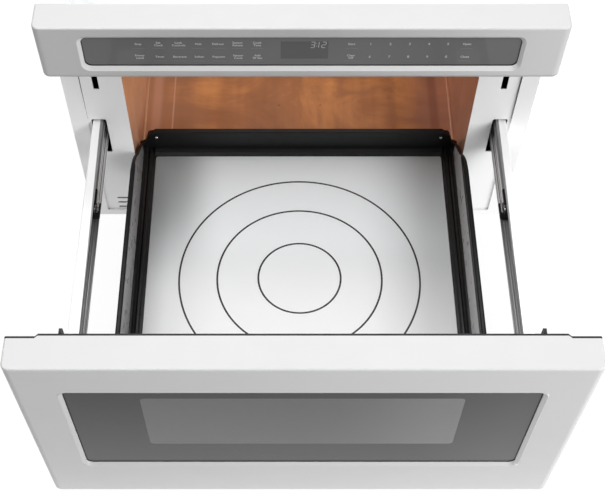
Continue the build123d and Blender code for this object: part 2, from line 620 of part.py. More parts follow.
with BuildPart() as drawer_front:
    with BuildSketch(Plane.XY.offset(DRAWER_Z0)) as s:
        with BuildLine():
            Polyline((-HALF_W, D), (HALF_W, D), (HALF_W, D + END_D), (STEP_X1, D + END_D), (STEP_X0, D + MID_D),
                     (-STEP_X0, D + MID_D), (-STEP_X1, D + END_D), (-HALF_W, D + END_D), close=True)
        make_face()
        fillet(s.vertices().group_by(Axis.Y)[0], CORNER_R)
    extrude(amount=DRAWER_H)
    top = drawer_front.faces().sort_by(Axis.Z)[-1].edges().filter_by(lambda e: e.center().Y < D + END_D - 3)
    low = drawer_front.faces().sort_by(Axis.Z)[0].edges().filter_by(lambda e: e.center().Y < D + END_D - 3)
    fillet(top, 2.4)
    fillet(low, 3.5)
    block(-299.7, 299.7, D + FACE_T, D + MID_D + 1, DRAWER_Z0 + 3.5, DRAWER_Z0 + DRAWER_H - 3.5, mode=Mode.SUBTRACT)
    block(-280, 280, D + END_D, D + MID_D + 1, DRAWER_Z0 - 1, LIP_Z, mode=Mode.SUBTRACT)
    with BuildSketch(at_y(D)):
        with Locations((0, (GLASS_Z[0] + GLASS_Z[1]) / 2)):
            RectangleRounded(2 * GLASS_HALF + 8, GLASS_Z[1] - GLASS_Z[0] + 8, 11)
    with BuildSketch(at_y(D + BEVEL_D)):
        with Locations((0, (GLASS_Z[0] + GLASS_Z[1]) / 2)):
            RectangleRounded(2 * GLASS_HALF, GLASS_Z[1] - GLASS_Z[0], 7.5)
    loft(mode=Mode.SUBTRACT)
    with BuildSketch(at_y(D + BEVEL_D)):
        with Locations((0, (GLASS_Z[0] + GLASS_Z[1]) / 2)):
            RectangleRounded(2 * GLASS_HALF, GLASS_Z[1] - GLASS_Z[0], 7.5)
    extrude(amount=-1, mode=Mode.SUBTRACT)
drawer_front.part.label = "drawer_front"
export_step(drawer_front.part, "parts/drawer_front.step")

with BuildPart() as door_glass:
    with BuildSketch(at_y(D + FACE_T)):
        with Locations((0, (GLASS_Z[0] + GLASS_Z[1]) / 2)):
            RectangleRounded(518, 199, 8)
    extrude(amount=-GLASS_T)
door_glass.part.label = "door_glass"
export_step(door_glass.part, "parts/door_glass.step")

# Window screen behind the door glass.
with BuildPart() as window_screen:
    block(-180, 180, D + 8, D + 8.8, 129, 261)
window_screen.part.label = "window_screen"
export_step(window_screen.part, "parts/window_screen.step")

# Inner frame of the drawer front: a pressed panel with a rim and an open tunnel from the screen to the inner window.
with BuildPart() as door_inner_frame:
    block(-292, 292, D + 24, D + 25.5, 16, 316)
    for s in (-1, 1):
        block(s * 290.5, s * 292, D + 25.5, D + END_D, 16, 316)
    block(-290.5, 290.5, D + 25.5, D + END_D, 16, 17.5)
    block(-290.5, 290.5, D + 25.5, D + END_D, 314.5, 316)
    block(-177.5, 177.5, D + 8.8, D + END_D, 131.5, 258.5)
    block(-176, 176, D + 8, D + END_D + 1, 133, 257, mode=Mode.SUBTRACT)
door_inner_frame.part.label = "door_inner_frame"
export_step(door_inner_frame.part, "parts/door_inner_frame.step")

with BuildPart() as inner_window:
    block(-180, 180, D + MID_D - 3, D + MID_D, 129, 261)
inner_window.part.label = "inner_window"
export_step(inner_window.part, "parts/inner_window.step")

# Black back plate: closes the front from behind and seats on the face plate.
with BuildPart() as door_back_plate:
    with BuildSketch(Plane.XY.offset(DRAWER_Z0)):
        with BuildLine():
            Polyline((-HALF_W, D + END_D), (-STEP_X1, D + END_D), (-STEP_X0, D + MID_D), (STEP_X0, D + MID_D), (STEP_X1, D + END_D),
                     (HALF_W, D + END_D), (HALF_W, D + END_D + SEAL_T), (STEP_X1 - 0.6, D + END_D + SEAL_T), (STEP_X0 - 0.6, D + MID_D + SEAL_T),
                     (-STEP_X0 + 0.6, D + MID_D + SEAL_T), (-STEP_X1 + 0.6, D + END_D + SEAL_T), (-HALF_W, D + END_D + SEAL_T), close=True)
        make_face()
    extrude(amount=DRAWER_H)
    fillet(door_back_plate.edges().filter_by(Axis.Y).filter_by(lambda e: abs(e.center().X) > 300), 2.5)
    block(-280, 280, D + END_D + SEAL_T, D + MID_D + SEAL_T + 1, DRAWER_Z0 - 1, LIP_Z, mode=Mode.SUBTRACT)
    block(-STEP_X1, STEP_X1, D + END_D, D + END_D + SEAL_T, DRAWER_Z0, LIP_Z + SEAL_T)
    block(-STEP_X0 + 0.6, STEP_X0 - 0.6, D + END_D, D + MID_D + SEAL_T, LIP_Z, LIP_Z + SEAL_T)
    block(-WINDOW_HALF, WINDOW_HALF, D + 38, D + 44, WINDOW_Z[0], WINDOW_Z[1], mode=Mode.SUBTRACT)
    for s in (-1, 1):
        block(s * 253.4, s * 267.9, D + 36, D + 44, 153.4, 201.1, mode=Mode.SUBTRACT)
    block(-8, 8, D + 36, D + 44, 40.8, 59, mode=Mode.SUBTRACT)
door_back_plate.part.label = "door_back_plate"
export_step(door_back_plate.part, "parts/door_back_plate.step")

BACK = MID_D + SEAL_T                    # back of the drawer front, 42 mm

# Latch hooks on the back plate.
with BuildPart() as latch_hooks:
    for s in (-1, 1):
        with BuildSketch(Plane.YZ.offset(s * 253.7 - 1.6)):
            with BuildLine():
                Polyline((D + BACK, 270), (D + BACK + 4, 272), (D + BACK + 15, 274), (D + BACK + 15, 270.5), (D + BACK + 21, 270.5),
                         (D + BACK + 24, 274), (D + BACK + 24, 292.8), (D + BACK + 22.5, 295.0), (D + BACK + 17, 295.0), (D + BACK + 8, 287),
                         (D + BACK + 4, 287), (D + BACK, 291), close=True)
            make_face()
        extrude(amount=3.2)
latch_hooks.part.label = "latch_hooks"
export_step(latch_hooks.part, "parts/latch_hooks.step")

# Side walls of the drawer box: thin skin, thick rim, sloping down at the rear.
with BuildPart() as drawer_side_right:
    with BuildSketch(Plane.YZ.offset(WALL_IN)):
        with BuildLine():
            Polyline((D + BACK, BOX_Z0), (D + BACK, WALL_TOP), (D + 372, WALL_TOP))
            ThreePointArc((D + 372, WALL_TOP), (D + 398, 160.5), (D + 420, 143.5))
            Polyline((D + 420, 143.5), (D + BOX_REAR, 113), (D + BOX_REAR, BOX_Z0), (D + BACK, BOX_Z0))
        make_face()
    extrude(amount=WALL_OUT - WALL_IN)
    with BuildSketch(Plane.YZ.offset(WALL_IN + 3)):
        with BuildLine():
            Polyline((D + BACK - 1, BOX_Z0 - 1), (D + BACK - 1, WALL_TOP - 9), (D + 369, WALL_TOP - 9))
            ThreePointArc((D + 369, WALL_TOP - 9), (D + 393, 152.2), (D + 414, 136))
            Polyline((D + 414, 136), (D + BOX_REAR + 1, 102.5), (D + BOX_REAR + 1, BOX_Z0 - 1), (D + BACK - 1, BOX_Z0 - 1))
        make_face()
    extrude(amount=10, mode=Mode.SUBTRACT)
    rim = drawer_side_right.edges().filter_by(lambda e: e.center().Z > 113.5 and (abs(e.center().X - WALL_OUT) < 0.01 or abs(e.center().X - WALL_IN) < 0.01)
                                              and e.length > 25 and e.center().Y > D + BACK + 5 and e.center().Y < D + BOX_REAR - 5)
    fillet([e for e in rim if e.center().Z > 100 + (D + BOX_REAR - e.center().Y) * 0.2], 2.2)
drawer_side_right.part.label = "drawer_side_right"
export_step(drawer_side_right.part, "parts/drawer_side_right.step")

with BuildPart() as drawer_side_left:
    mirror(drawer_side_right.part, about=Plane.YZ)
drawer_side_left.part.label = "drawer_side_left"
export_step(drawer_side_left.part, "parts/drawer_side_left.step")

# Rear wall, lower at its stepped corners.
with BuildPart() as drawer_rear_wall:
    with BuildSketch(at_y(D + BOX_REAR)):
        with BuildLine():
            Polyline((-219, BOX_Z0), (-219, 108), (-211.2, 112), (-205.6, 128.6), (-203.4, 130.6), (-198.6, 131.2), (-194.8, REAR_TOP),
                     (194.8, REAR_TOP), (198.6, 131.2), (203.4, 130.6), (205.6, 128.6), (211.2, 112), (219, 108), (219, BOX_Z0), close=True)
        make_face()
    extrude(amount=-REAR_T)
    fillet(drawer_rear_wall.edges().filter_by(Axis.X).filter_by(lambda e: e.center().Z > 134), 1.5)
drawer_rear_wall.part.label = "drawer_rear_wall"
export_step(drawer_rear_wall.part, "parts/drawer_rear_wall.step")

# Drawer base: floor sheet, grooved ledges round the tray, cross ribs under it.
with BuildPart() as drawer_base:
    block(-WALL_IN, WALL_IN, D + BACK, D + BOX_REAR, BOX_Z0, 83)
    for s in (-1, 1):
        with BuildSketch(at_y(D + BACK)):
            with BuildLine():
                Polyline(*[(s * x, z) for x, z in ((213, 82), (213, 106.5), (210.5, 106.2), (208.8, 102.6), (206.8, 101.2), (204.6, 102.8),
                                                   (202.4, 102.6), (200.4, 99.4), (197.2, 98.6), (197.2, 82))], close=True)
            make_face()
        extrude(amount=-(BOX_REAR - BACK))
    with BuildSketch(Plane.YZ.offset(-198)):
        with BuildLine():
            Polyline((D + BOX_REAR, 82), (D + BOX_REAR, 105.5), (D + 460, 105), (D + 457.5, 101), (D + 453.4, 98.6), (D + 453.4, 82), close=True)
        make_face()
    extrude(amount=396)
    for y in (60, 150, 240, 330, 430):
        block(-198, 198, D + y, D + y + 6, 82, 93)
drawer_base.part.label = "drawer_base"
export_step(drawer_base.part, "parts/drawer_base.step")

# Flat ceramic floor of the drawer.
with BuildPart() as ceramic_tray:
    with BuildSketch(Plane.XY.offset(93)):
        with Locations((0, D + (42.4 + 453.2) / 2)):
            RectangleRounded(394, 453.2 - 42.4, 3)
    extrude(amount=TRAY_Z - 93)
    chamfer(ceramic_tray.faces().sort_by(Axis.Z)[-1].edges(), 0.5)
ceramic_tray.part.label = "ceramic_tray"
export_step(ceramic_tray.part, "parts/ceramic_tray.step")

# Drive rack under the drawer, teeth downwards.
pitch = math.pi * MODULE
rack_pts = [(D + 25.5, 57.5), (D + 25.5, PITCH_Z + 1.25 * MODULE)]
n0 = math.ceil((D + 50 - PINION_Y) / pitch)
n1 = math.floor((D + 466 - PINION_Y) / pitch)
tan20 = math.tan(math.radians(20))
for n in range(n0, n1 + 1):
    yc = PINION_Y + n * pitch
    hw = pitch / 4 - 0.11
    up, dn = 1.25 * MODULE, 0.92 * MODULE
    rack_pts += [(yc - hw - up * tan20, PITCH_Z + up), (yc - hw + dn * tan20, PITCH_Z - dn), (yc + hw - dn * tan20, PITCH_Z - dn), (yc + hw + up * tan20, PITCH_Z + up)]
rack_pts += [(D + 470, PITCH_Z + 1.25 * MODULE), (D + 470, 57.5)]
with BuildPart() as drive_rack:
    with BuildSketch(Plane.YZ.offset(-5.5)):
        with BuildLine():
            Polyline(*rack_pts, close=True)
        make_face()
    extrude(amount=11)
drive_rack.part.label = "drive_rack"
export_step(drive_rack.part, "parts/drive_rack.step")

# Screws of the drawer: two in the rear corners, two in each rail foot.
with BuildPart() as drawer_screws:
    for x in (-194.5, 194.5):
        rod_y(x, 124.5, D + BOX_REAR - 1.6, D + BOX_REAR, 3)
    for s in (-1, 1):
        for z in (165, 190):
            rod_y(s * 277, z, D + 27, D + 29.5, 3.5)
drawer_screws.part.label = "drawer_screws"
export_step(drawer_screws.part, "parts/drawer_screws.step")
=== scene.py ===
import bpy
import bmesh
import math
from mathutils import Matrix, Vector


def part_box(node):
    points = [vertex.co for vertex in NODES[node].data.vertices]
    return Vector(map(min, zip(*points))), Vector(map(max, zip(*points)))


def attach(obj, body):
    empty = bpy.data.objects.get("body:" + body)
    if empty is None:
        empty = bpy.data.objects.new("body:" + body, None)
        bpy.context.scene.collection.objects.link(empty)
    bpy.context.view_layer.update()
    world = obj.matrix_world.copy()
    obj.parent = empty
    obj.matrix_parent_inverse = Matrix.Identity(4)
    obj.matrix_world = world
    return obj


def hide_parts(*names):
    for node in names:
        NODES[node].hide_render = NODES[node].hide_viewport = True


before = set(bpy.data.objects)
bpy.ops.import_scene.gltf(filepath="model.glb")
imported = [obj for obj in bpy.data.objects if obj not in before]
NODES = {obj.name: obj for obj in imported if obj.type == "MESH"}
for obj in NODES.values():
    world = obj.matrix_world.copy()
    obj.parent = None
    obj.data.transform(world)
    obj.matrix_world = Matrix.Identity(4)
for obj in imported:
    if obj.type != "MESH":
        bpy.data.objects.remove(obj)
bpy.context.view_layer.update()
MM = 0.001
scene = bpy.context.scene


# ------------------------------------------------------------------ node materials
class Mat:
    """A Principled material whose patterns are laid out in the object's own metres."""

    def __init__(self, name, **sockets):
        self.m = bpy.data.materials.new(name)
        self.m.use_nodes = True
        self.nt = self.m.node_tree
        self.nt.nodes.clear()
        self.out = self.nt.nodes.new("ShaderNodeOutputMaterial")
        self.b = self.nt.nodes.new("ShaderNodeBsdfPrincipled")
        self.nt.links.new(self.b.outputs[0], self.out.inputs[0])
        self.tc = self.nt.nodes.new("ShaderNodeTexCoord")
        self.xyz = None
        for k, v in sockets.items():
            self.b.inputs[k.replace("_", " ")].default_value = v

    def link(self, a, b):
        self.nt.links.new(a, b)
        return b

    def pos(self, scale=(1, 1, 1), rot=(0, 0, 0)):
        n = self.nt.nodes.new("ShaderNodeMapping")
        n.inputs["Scale"].default_value = scale
        n.inputs["Rotation"].default_value = rot
        self.link(self.tc.outputs["Object"], n.inputs["Vector"])
        return n.outputs[0]

    def axis(self, i):
        if self.xyz is None:
            self.xyz = self.nt.nodes.new("ShaderNodeSeparateXYZ")
            self.link(self.tc.outputs["Object"], self.xyz.inputs[0])
        return self.xyz.outputs[i]

    def noise(self, scale, detail=3.0, rough=0.5, stretch=(1, 1, 1), distort=0.0):
        n = self.nt.nodes.new("ShaderNodeTexNoise")
        n.inputs["Scale"].default_value = scale
        n.inputs["Detail"].default_value = detail
        n.inputs["Roughness"].default_value = rough
        n.inputs["Distortion"].default_value = distort
        self.link(self.pos(stretch), n.inputs["Vector"])
        return n.outputs["Fac"]

    def cells(self, scale, feature="F1", out="Color", stretch=(1, 1, 1)):
        n = self.nt.nodes.new("ShaderNodeTexVoronoi")
        n.feature = feature
        n.inputs["Scale"].default_value = scale
        self.link(self.pos(stretch), n.inputs["Vector"])
        return n.outputs[out]

    def math(self, op, a, b=None, c=None, clamp=False):
        n = self.nt.nodes.new("ShaderNodeMath")
        n.operation = op
        n.use_clamp = clamp
        for i, v in enumerate((a, b, c)):
            if v is None:
                continue
            if isinstance(v, (int, float)):
                n.inputs[i].default_value = v
            else:
                self.link(v, n.inputs[i])
        return n.outputs[0]

    def ramp(self, fac, stops, mode="LINEAR"):
        n = self.nt.nodes.new("ShaderNodeValToRGB")
        n.color_ramp.interpolation = mode
        el = n.color_ramp.elements
        while len(el) < len(stops):
            el.new(0.5)
        for e, (p, c) in zip(el, stops):
            e.position = p
            e.color = (*c, 1) if len(c) == 3 else c
        self.link(fac, n.inputs[0])
        return n.outputs["Color"]

    def span(self, fac, lo, hi, a=0.0, b=1.0):
        """fac from lo..hi to a..b, smooth and clamped."""
        n = self.nt.nodes.new("ShaderNodeMapRange")
        n.interpolation_type = "SMOOTHSTEP"
        for k, v in (("From Min", lo), ("From Max", hi), ("To Min", a), ("To Max", b)):
            n.inputs[k].default_value = v
        self.link(fac, n.inputs["Value"])
        return n.outputs["Result"]

    def mix(self, fac, a, b, blend="MIX"):
        n = self.nt.nodes.new("ShaderNodeMix")
        n.data_type = "RGBA"
        n.blend_type = blend
        for s, v in (("Factor", fac), ("A", a), ("B", b)):
            sock = [i for i in n.inputs if i.name == s and i.enabled][0]
            if isinstance(v, (int, float)):
                sock.default_value = v
            elif isinstance(v, tuple):
                sock.default_value = (*v, 1)
            else:
                self.link(v, sock)
        return [o for o in n.outputs if o.enabled][0]

    def bump(self, height, strength, distance, normal=None):
        n = self.nt.nodes.new("ShaderNodeBump")
        n.inputs["Strength"].default_value = strength
        n.inputs["Distance"].default_value = distance
        self.link(height, n.inputs["Height"])
        if normal is not None:
            self.link(normal, n.inputs["Normal"])
        return n.outputs[0]

    def color(self, sock):
        self.link(sock, self.b.inputs["Base Color"])

    def rough(self, sock):
        self.link(sock, self.b.inputs["Roughness"])

    def normal(self, sock):
        self.link(sock, self.b.inputs["Normal"])

    def rect(self, i, lo_i, hi_i, j, lo_j, hi_j, soft=0.0003):
        """1 inside a rectangle in two of the axes, 0 outside."""
        parts = []
        for ax, lo, hi in ((i, lo_i, hi_i), (j, lo_j, hi_j)):
            parts.append(self.span(self.axis(ax), lo - soft, lo + soft))
            parts.append(self.span(self.axis(ax), hi - soft, hi + soft, 1.0, 0.0))
        r = parts[0]
        for p in parts[1:]:
            r = self.math("MULTIPLY", r, p)
        return r


def round_rect(m, hx, z0, z1, r, soft=0.0003):
    """1 inside an upright rounded rectangle centred on X = 0, 0 outside."""
    qx = m.math("MAXIMUM", m.math("SUBTRACT", m.math("ABSOLUTE", m.axis(0)), hx - r), 0.0)
    qz = m.math("MAXIMUM", m.math("SUBTRACT", m.math("ABSOLUTE", m.math("SUBTRACT", m.axis(2), (z0 + z1) / 2)), (z1 - z0) / 2 - r), 0.0)
    d = m.math("SQRT", m.math("ADD", m.math("MULTIPLY", qx, qx), m.math("MULTIPLY", qz, qz)))
    return m.span(d, r - soft, r + soft, 1.0, 0.0)


def tint(c, k):
    return tuple(min(1.0, max(0.0, v * k)) for v in c)


def painted(name, c, rough, spec=0.5, peel=0.12, var=0.035, coat=0.0, grain=700.0):
    """Enamel or powder coat: faint cloudiness, orange peel and dust specks."""
    m = Mat(name, Specular_IOR_Level=spec, Coat_Weight=coat, Coat_Roughness=0.12)
    cloud = m.noise(7.0, 4.0, 0.55)
    fine = m.noise(grain, 2.0, 0.5)
    both = m.math("ADD", m.math("MULTIPLY", cloud, 0.75), m.math("MULTIPLY", fine, 0.25))
    m.color(m.ramp(both, [(0.3, tint(c, 1 - var)), (0.7, tint(c, 1 + var * 0.4))]))
    m.rough(m.span(m.noise(45.0, 3.0), 0.3, 0.7, rough - 0.05, rough + 0.05))
    m.normal(m.bump(m.noise(grain * 0.8, 2.0, 0.4), peel, 4e-5))
    return m.m


def moulded(name, c, rough, spec=0.3, grain=1400.0, bump=0.3, var=0.10):
    """Injection-moulded resin: spark-eroded grain with a little flow mottling."""
    m = Mat(name, Specular_IOR_Level=spec)
    flow = m.noise(18.0, 4.0, 0.6, distort=0.4)
    m.color(m.ramp(flow, [(0.3, tint(c, 1 - var)), (0.72, tint(c, 1 + var))]))
    m.rough(m.span(m.noise(90.0, 3.0), 0.3, 0.7, rough - 0.06, rough + 0.06))
    m.normal(m.bump(m.cells(grain, "SMOOTH_F1", "Distance"), bump, 5e-5))
    return m.m


def sheet_metal(name, c, rough, spangle=0.0, brushed=None, var=0.08):
    """Bare metal: zinc spangle, or drawing lines along one axis."""
    m = Mat(name, Metallic=1.0)
    if brushed is not None:
        stretch = tuple(1.0 if i == brushed else 60.0 for i in range(3))
        lines = m.noise(14.0, 5.0, 0.65, stretch)
        wide = m.noise(3.0, 2.0, 0.5, stretch)
        f = m.math("ADD", m.math("MULTIPLY", lines, 0.55), m.math("MULTIPLY", wide, 0.45))
        m.color(m.ramp(f, [(0.3, tint(c, 1 - 2 * var)), (0.7, tint(c, 1 + var))]))
        m.rough(m.span(lines, 0.3, 0.7, rough - 0.07, rough + 0.09))
        m.normal(m.bump(lines, 0.25, 4e-5))
    else:
        flake = m.nt.nodes.new("ShaderNodeSeparateColor")
        m.link(m.cells(spangle, "F1", "Color", (1, 1, 1)), flake.inputs[0])
        f = m.math("ADD", m.math("MULTIPLY", flake.outputs[0], 0.6), m.math("MULTIPLY", m.noise(9.0, 4.0), 0.4))
        m.color(m.ramp(f, [(0.2, tint(c, 1 - var)), (0.8, tint(c, 1 + var))]))
        m.rough(m.span(flake.outputs[1], 0.0, 1.0, rough - 0.03, rough + 0.04))
        m.normal(m.bump(m.noise(160.0, 3.0), 0.05, 4e-5))
    return m.m


MATTE_WHITE = (0.625, 0.625, 0.625)
mats = {}


def front_white():
    """Matte white of the drawer front, with painted light: a painted highlight on the right-hand bevel of its opening,
    painted shade on the left-hand bevel, and the top face painted a little darker than the front against the light from
    above.
    """
    m = Mat("front_matte_white", Specular_IOR_Level=0.35)
    both = m.math("ADD", m.math("MULTIPLY", m.noise(7.0, 4.0, 0.55), 0.75), m.math("MULTIPLY", m.noise(520.0, 2.0, 0.5), 0.25))
    col = m.ramp(both, [(0.3, tint(MATTE_WHITE, 0.985)), (0.7, tint(MATTE_WHITE, 1.006))])
    # painted highlight on the right-hand bevel of the window opening
    col = m.mix(m.rect(0, 0.2508, 0.2552, 2, 0.0850, 0.2710), col, (0.86, 0.86, 0.86))
    # painted shade on the left-hand bevel of the window opening
    col = m.mix(m.rect(0, -0.2552, -0.2508, 2, 0.0850, 0.2710), col, (0.53, 0.53, 0.53))
    # the top face is painted darker than the front, against the light from above
    m.color(m.mix(m.span(m.axis(2), 0.3205, 0.3228), col, (0.565, 0.565, 0.565)))
    m.rough(m.span(m.noise(45.0, 3.0), 0.3, 0.7, 0.38, 0.47))
    m.normal(m.bump(m.noise(416.0, 2.0, 0.4), 0.07, 4e-5))
    return m.m


mats["matte_white"] = front_white()


def panel_white():
    """Matte white of the control panel, with painted light: painted shade across its face, darkest in the middle and
    under its lower edge, a painted highlight on the bevel round the glass, and a lighter top face.
    """
    m = Mat("panel_matte_white", Specular_IOR_Level=0.35)
    fine = m.noise(520.0, 2.0, 0.5)
    along = m.math("ADD", m.math("MULTIPLY", m.axis(0), 1 / 0.6), 0.5)
    # painted shade across the face: darkest in the middle, lightest at the right-hand end
    face = m.ramp(along, [(0.05, (0.475, 0.475, 0.475)), (0.5, (0.42, 0.42, 0.42)), (0.95, (0.535, 0.535, 0.535))])
    # painted shade under the lower edge of the face
    face = m.mix(m.span(m.axis(2), 0.3290, 0.3335, 1.0, 0.0), face, (0.35, 0.355, 0.35))
    # painted highlight on the bevel round the glass
    bevel = m.math("MULTIPLY", round_rect(m, 0.2550, 0.3384, 0.3937, 0.011), m.span(m.axis(2), 0.3884, 0.3890, 1.0, 0.0))
    face = m.mix(bevel, face, (0.64, 0.64, 0.64))
    # the top face takes a lighter white than the face: painted light from above
    col = m.mix(m.span(m.axis(2), 0.4040, 0.4055), face, (0.562, 0.562, 0.562))
    m.color(m.mix(0.5, col, m.ramp(fine, [(0.3, (0.985, 0.985, 0.985)), (0.7, (1, 1, 1))]), "MULTIPLY"))
    m.rough(m.span(m.noise(45.0, 3.0), 0.3, 0.7, 0.38, 0.47))
    m.normal(m.bump(m.noise(416.0, 2.0, 0.4), 0.07, 4e-5))
    return m.m


def chassis_white():
    """White enamel of the flange and face plate, slightly cloudy, with painted light making it lighter towards the
    bottom.
    """
    m = Mat("chassis_white_enamel", Specular_IOR_Level=0.4)
    # painted light: a lighter white low on the flange and face plate than higher up
    low = m.span(m.axis(2), 0.10, 0.30, 0.0, 1.0)
    col = m.mix(low, (0.90, 0.90, 0.90), (0.765, 0.765, 0.765))
    m.color(m.mix(0.5, col, m.ramp(m.noise(7.0, 4.0, 0.55), [(0.3, (0.975, 0.975, 0.975)), (0.7, (1, 1, 1))]), "MULTIPLY"))
    m.rough(m.span(m.noise(45.0, 3.0), 0.3, 0.7, 0.38, 0.46))
    m.normal(m.bump(m.noise(336.0, 2.0, 0.4), 0.03, 4e-5))
    return m.m


def rail_white():
    """White enamel of the rails; along the inner edge towards the rear a dark steel-toned strip stands for the slide's
    upper lip, painted in shade.
    """
    m = Mat("rail_white_enamel", Specular_IOR_Level=0.4)
    ax = m.math("ABSOLUTE", m.axis(0))
    edge = m.math("ADD", m.math("MULTIPLY", m.axis(1), 0.0115), 0.26065)
    lip = m.math("SUBTRACT", ax, edge)
    # painted shade: the strip for the slide's lip is a dark steel tone
    steel = m.ramp(m.noise(14.0, 4.0, 0.6, (60.0, 1.0, 60.0)), [(0.3, (0.16, 0.16, 0.162)), (0.7, (0.30, 0.30, 0.303))])
    white = m.ramp(m.noise(7.0, 4.0, 0.55), [(0.3, (0.925, 0.925, 0.925)), (0.7, (0.940, 0.940, 0.940))])
    m.color(m.mix(m.span(lip, -0.0002, 0.0002, 1.0, 0.0), white, steel))
    m.rough(m.span(m.noise(45.0, 3.0), 0.3, 0.7, 0.34, 0.42))
    m.normal(m.bump(m.noise(336.0, 2.0, 0.4), 0.03, 4e-5))
    return m.m


mats["panel_white"] = panel_white()
mats["enamel_white"] = chassis_white()
mats["rail_white"] = rail_white()
mats["zinc"] = sheet_metal("zinc_spangle", (0.60, 0.61, 0.62), 0.46, spangle=190.0, var=0.07)
mats["slide"] = sheet_metal("slide_steel", (0.62, 0.62, 0.625), 0.34, brushed=1, var=0.16)


def formed_steel(name, c, rough, crease_shading, metallic=0.75):
    """Roll-formed slide steel: drawing lines along the run, and creases across the section whose colour carries painted
    shade and highlight.

    crease_shading: (axis, distance from the centre plane or height, half width, brightness); a brightness below 1
    paints shade into a crease, above 1 a painted highlight."""
    m = Mat(name, Metallic=metallic, Specular_IOR_Level=0.5)
    lines = m.noise(14.0, 5.0, 0.65, (60.0, 1.0, 60.0))
    wide = m.noise(5.0, 2.0, 0.5, (60.0, 1.0, 60.0))
    col = m.ramp(m.math("ADD", m.math("MULTIPLY", lines, 0.6), m.math("MULTIPLY", wide, 0.4)), [(0.3, tint(c, 0.72)), (0.7, c)])
    height = None
    for ax, at, half, k in crease_shading:
        v = m.math("ABSOLUTE", m.axis(0)) if ax == 0 else m.axis(ax)
        d = m.math("ABSOLUTE", m.math("SUBTRACT", v, at))
        w = m.span(d, half * 0.6, half * 1.3, 1.0, 0.0)
        # each crease is painted darker as painted shade where its brightness is below 1, lighter as a painted highlight
        # above 1
        col = m.mix(w, col, tint(c, k))
        height = w if height is None else m.math("ADD", height, w)
    m.color(col)
    m.rough(m.span(lines, 0.3, 0.7, rough - 0.07, rough + 0.09))
    m.normal(m.bump(height, 0.4, 4e-4, m.bump(lines, 0.2, 4e-5)))
    return m.m


# crease brightnesses: painted shade below 1; the drawer member's 1.35 is a painted highlight
mats["slide_inner"] = formed_steel("slide_steel_middle", (0.97, 0.97, 0.975), 0.42, [
    (0, 0.2559, 0.0006, 0.22), (0, 0.2578, 0.0004, 0.40), (0, 0.2530, 0.0005, 0.45), (2, 0.1655, 0.0007, 0.35), (2, 0.1690, 0.0010, 0.60),
    (2, 0.1770, 0.0040, 0.70), (2, 0.1945, 0.0020, 0.40)], metallic=0.55)
mats["slide_outer"] = formed_steel("slide_steel_drawer", (0.44, 0.44, 0.445), 0.38, [
    (0, 0.2552, 0.0005, 0.55), (0, 0.2590, 0.0008, 0.62), (0, 0.2622, 0.0004, 0.45), (2, 0.1600, 0.0008, 0.55), (2, 0.1700, 0.0015, 1.35)])
mats["aluminium"] = sheet_metal("plain_aluminium", (0.66, 0.67, 0.68), 0.36, spangle=240.0, var=0.06)
mats["screw"] = sheet_metal("plated_screw", (0.62, 0.62, 0.62), 0.24, spangle=900.0, var=0.08)
mats["black_resin"] = moulded("black_resin", (0.0085, 0.0086, 0.0090), 0.44, 0.30)
mats["grey_resin"] = moulded("grey_resin", (0.10, 0.10, 0.105), 0.5, 0.35)
mats["white_resin"] = moulded("white_resin", (0.72, 0.72, 0.69), 0.45, 0.4, var=0.03)


def copper_cavity():
    """Satin copper-toned enamel with soft drawn streaks along the depth and cloudy mottling; paler copper near both
    side walls and three thin streaks there are painted reflections of the walls.
    """
    m = Mat("copper_enamel", Metallic=0.35, Specular_IOR_Level=0.5, Coat_Weight=0.15, Coat_Roughness=0.20)
    streak = m.noise(9.0, 3.0, 0.5, (2.2, 0.22, 1.0))
    cloud = m.noise(6.5, 5.0, 0.62, (1.0, 1.6, 1.0), 0.8)
    f = m.math("ADD", m.math("MULTIPLY", streak, 0.45), m.math("MULTIPLY", cloud, 0.55))
    col = m.ramp(f, [(0.34, (0.29, 0.118, 0.050)), (0.50, (0.42, 0.172, 0.064)), (0.62, (0.70, 0.310, 0.092))])
    # painted reflection of the side walls: paler copper towards both edges
    wall_reflection = m.span(m.axis(0), -0.205, -0.11, 1.0, 0.0)
    col = m.mix(m.math("MULTIPLY", wall_reflection, 0.50), col, (0.82, 0.50, 0.33))
    wall_reflection = m.span(m.axis(0), 0.13, 0.205, 0.0, 1.0)
    col = m.mix(m.math("MULTIPLY", wall_reflection, 0.58), col, (0.76, 0.47, 0.37))
    # thin streaks near the walls: painted reflections
    for x, w, c in ((-0.180, 0.0016, (0.90, 0.62, 0.47)), (-0.204, 0.010, (0.80, 0.50, 0.36)), (0.196, 0.010, (0.42, 0.20, 0.15))):
        d = m.math("ABSOLUTE", m.math("SUBTRACT", m.axis(0), x))
        col = m.mix(m.span(d, w * 0.25, w, 0.65, 0.0), col, c)
    m.color(col)
    m.rough(m.span(m.noise(30.0, 4.0), 0.3, 0.7, 0.30, 0.42))
    m.normal(m.bump(m.noise(320.0, 2.0), 0.10, 5e-5))
    return m.m


WALL_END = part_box("ceramic_tray")[1].y


